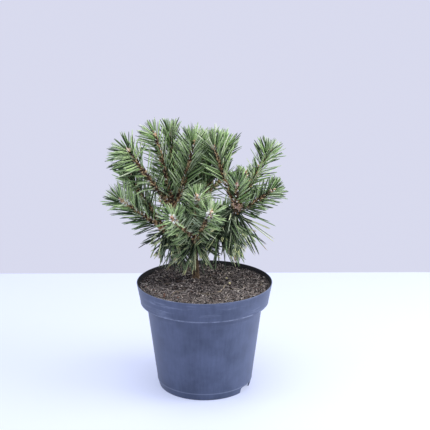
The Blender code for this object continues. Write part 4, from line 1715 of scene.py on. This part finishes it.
def layPlaced(pile, bits):
    for tone, pixels, (aim, length, width, form, sides, flatness) in bits["placed"]:
        for pixel in pixels:
            sizes = np.array([length]), np.array([width])
            spot = markOnSoil(pixel)[None]
            turnings(pile, spot, np.array([aim]), *sizes, form, sides, bitTone(tone), flatness)
    line = np.array([markOnSoil(pixel) for pixel in bits["straw"]]) + np.array((0, 0, bits["strawLift"]))
    sweep(pile, line, np.full(len(line), bits["strawRadius"]), bits["strawSides"], bitTone("straw"))


def makeSoilBits():
    dice = np.random.default_rng(soilBits["seed"])
    pile = Pile()
    for lay in (layCrumbs, layChips, layFibres, layRoots):
        lay(pile, dice, soilBits)
    layPlaced(pile, soilBits)
    sheets = toneSheets(soilBits["tones"], soilBits["roughness"], soilBits["specular"])
    pile.build("soil_bits", sheets, "soil")


# Crown, bough by bough

crown = {
    # finishes: roughness, and the specular level of the needles
    "leaf": (0.55, 0.3),
    "oldLeaf": (0.60, 0.3),
    "sheath": (0.6,),
    "scale": (0.7,),
    "bud": (0.45,),
    # the first seed of each kind of piece
    "shootSeed": 1,
    "budSeed": 51,
    "skirtSeed": 101,
    "knotSeed": 200,
}


def makeCrown():
    def dice(kind, index):
        return np.random.default_rng(crown[kind] + index)

    room = Room()
    leafSheets = toneSheets(leafTones, *crown["leaf"])
    oldSheets = toneSheets(oldTones, *crown["oldLeaf"])
    sheathSheets = toneSheets(sheath["tones"], *crown["sheath"])
    scaleSheets = toneSheets(scale["tones"], *crown["scale"])
    budSheets = toneSheets(bud["tones"], *crown["bud"])
    sheaths, scales, stems, buds, knots, olds = (Pile() for _ in range(6))
    for index, bough in enumerate(boughs):
        needles = Pile()
        carried = [name for name in shoots if shoots[name][0] == bough]
        for name in carried:
            place = list(shoots).index(name)
            growShoot(name, room, needles, sheaths, scales, dice("shootSeed", place))
            growStem(stems, shootAxes[name])
            growBuds(buds, shootAxes[name], dice("budSeed", place))
        needles.build(f"needles_{bough}", leafSheets, "needles", carried)
        growKnot(knots, bough, dice("knotSeed", index))
    for index, name in enumerate(skirts):
        growSkirt(name, room, olds, sheaths, dice("skirtSeed", index))
    olds.build("needles_old", oldSheets, "old_needles", list(skirts))
    stems.build("stems", [woodSheet("stemBark")], "bark")
    sheaths.build("sheaths", sheathSheets, "bark")
    scales.build("stem_scales", scaleSheets, "bark")
    buds.build("buds", budSheets, "bark")
    knots.build("knot_bracts", scaleSheets, "bark")


# Everything in order

makeCamera()
makeStudio()
makePot()
makeSoilBed()
makeSoilBits()
growLimbs()
makeCrown()
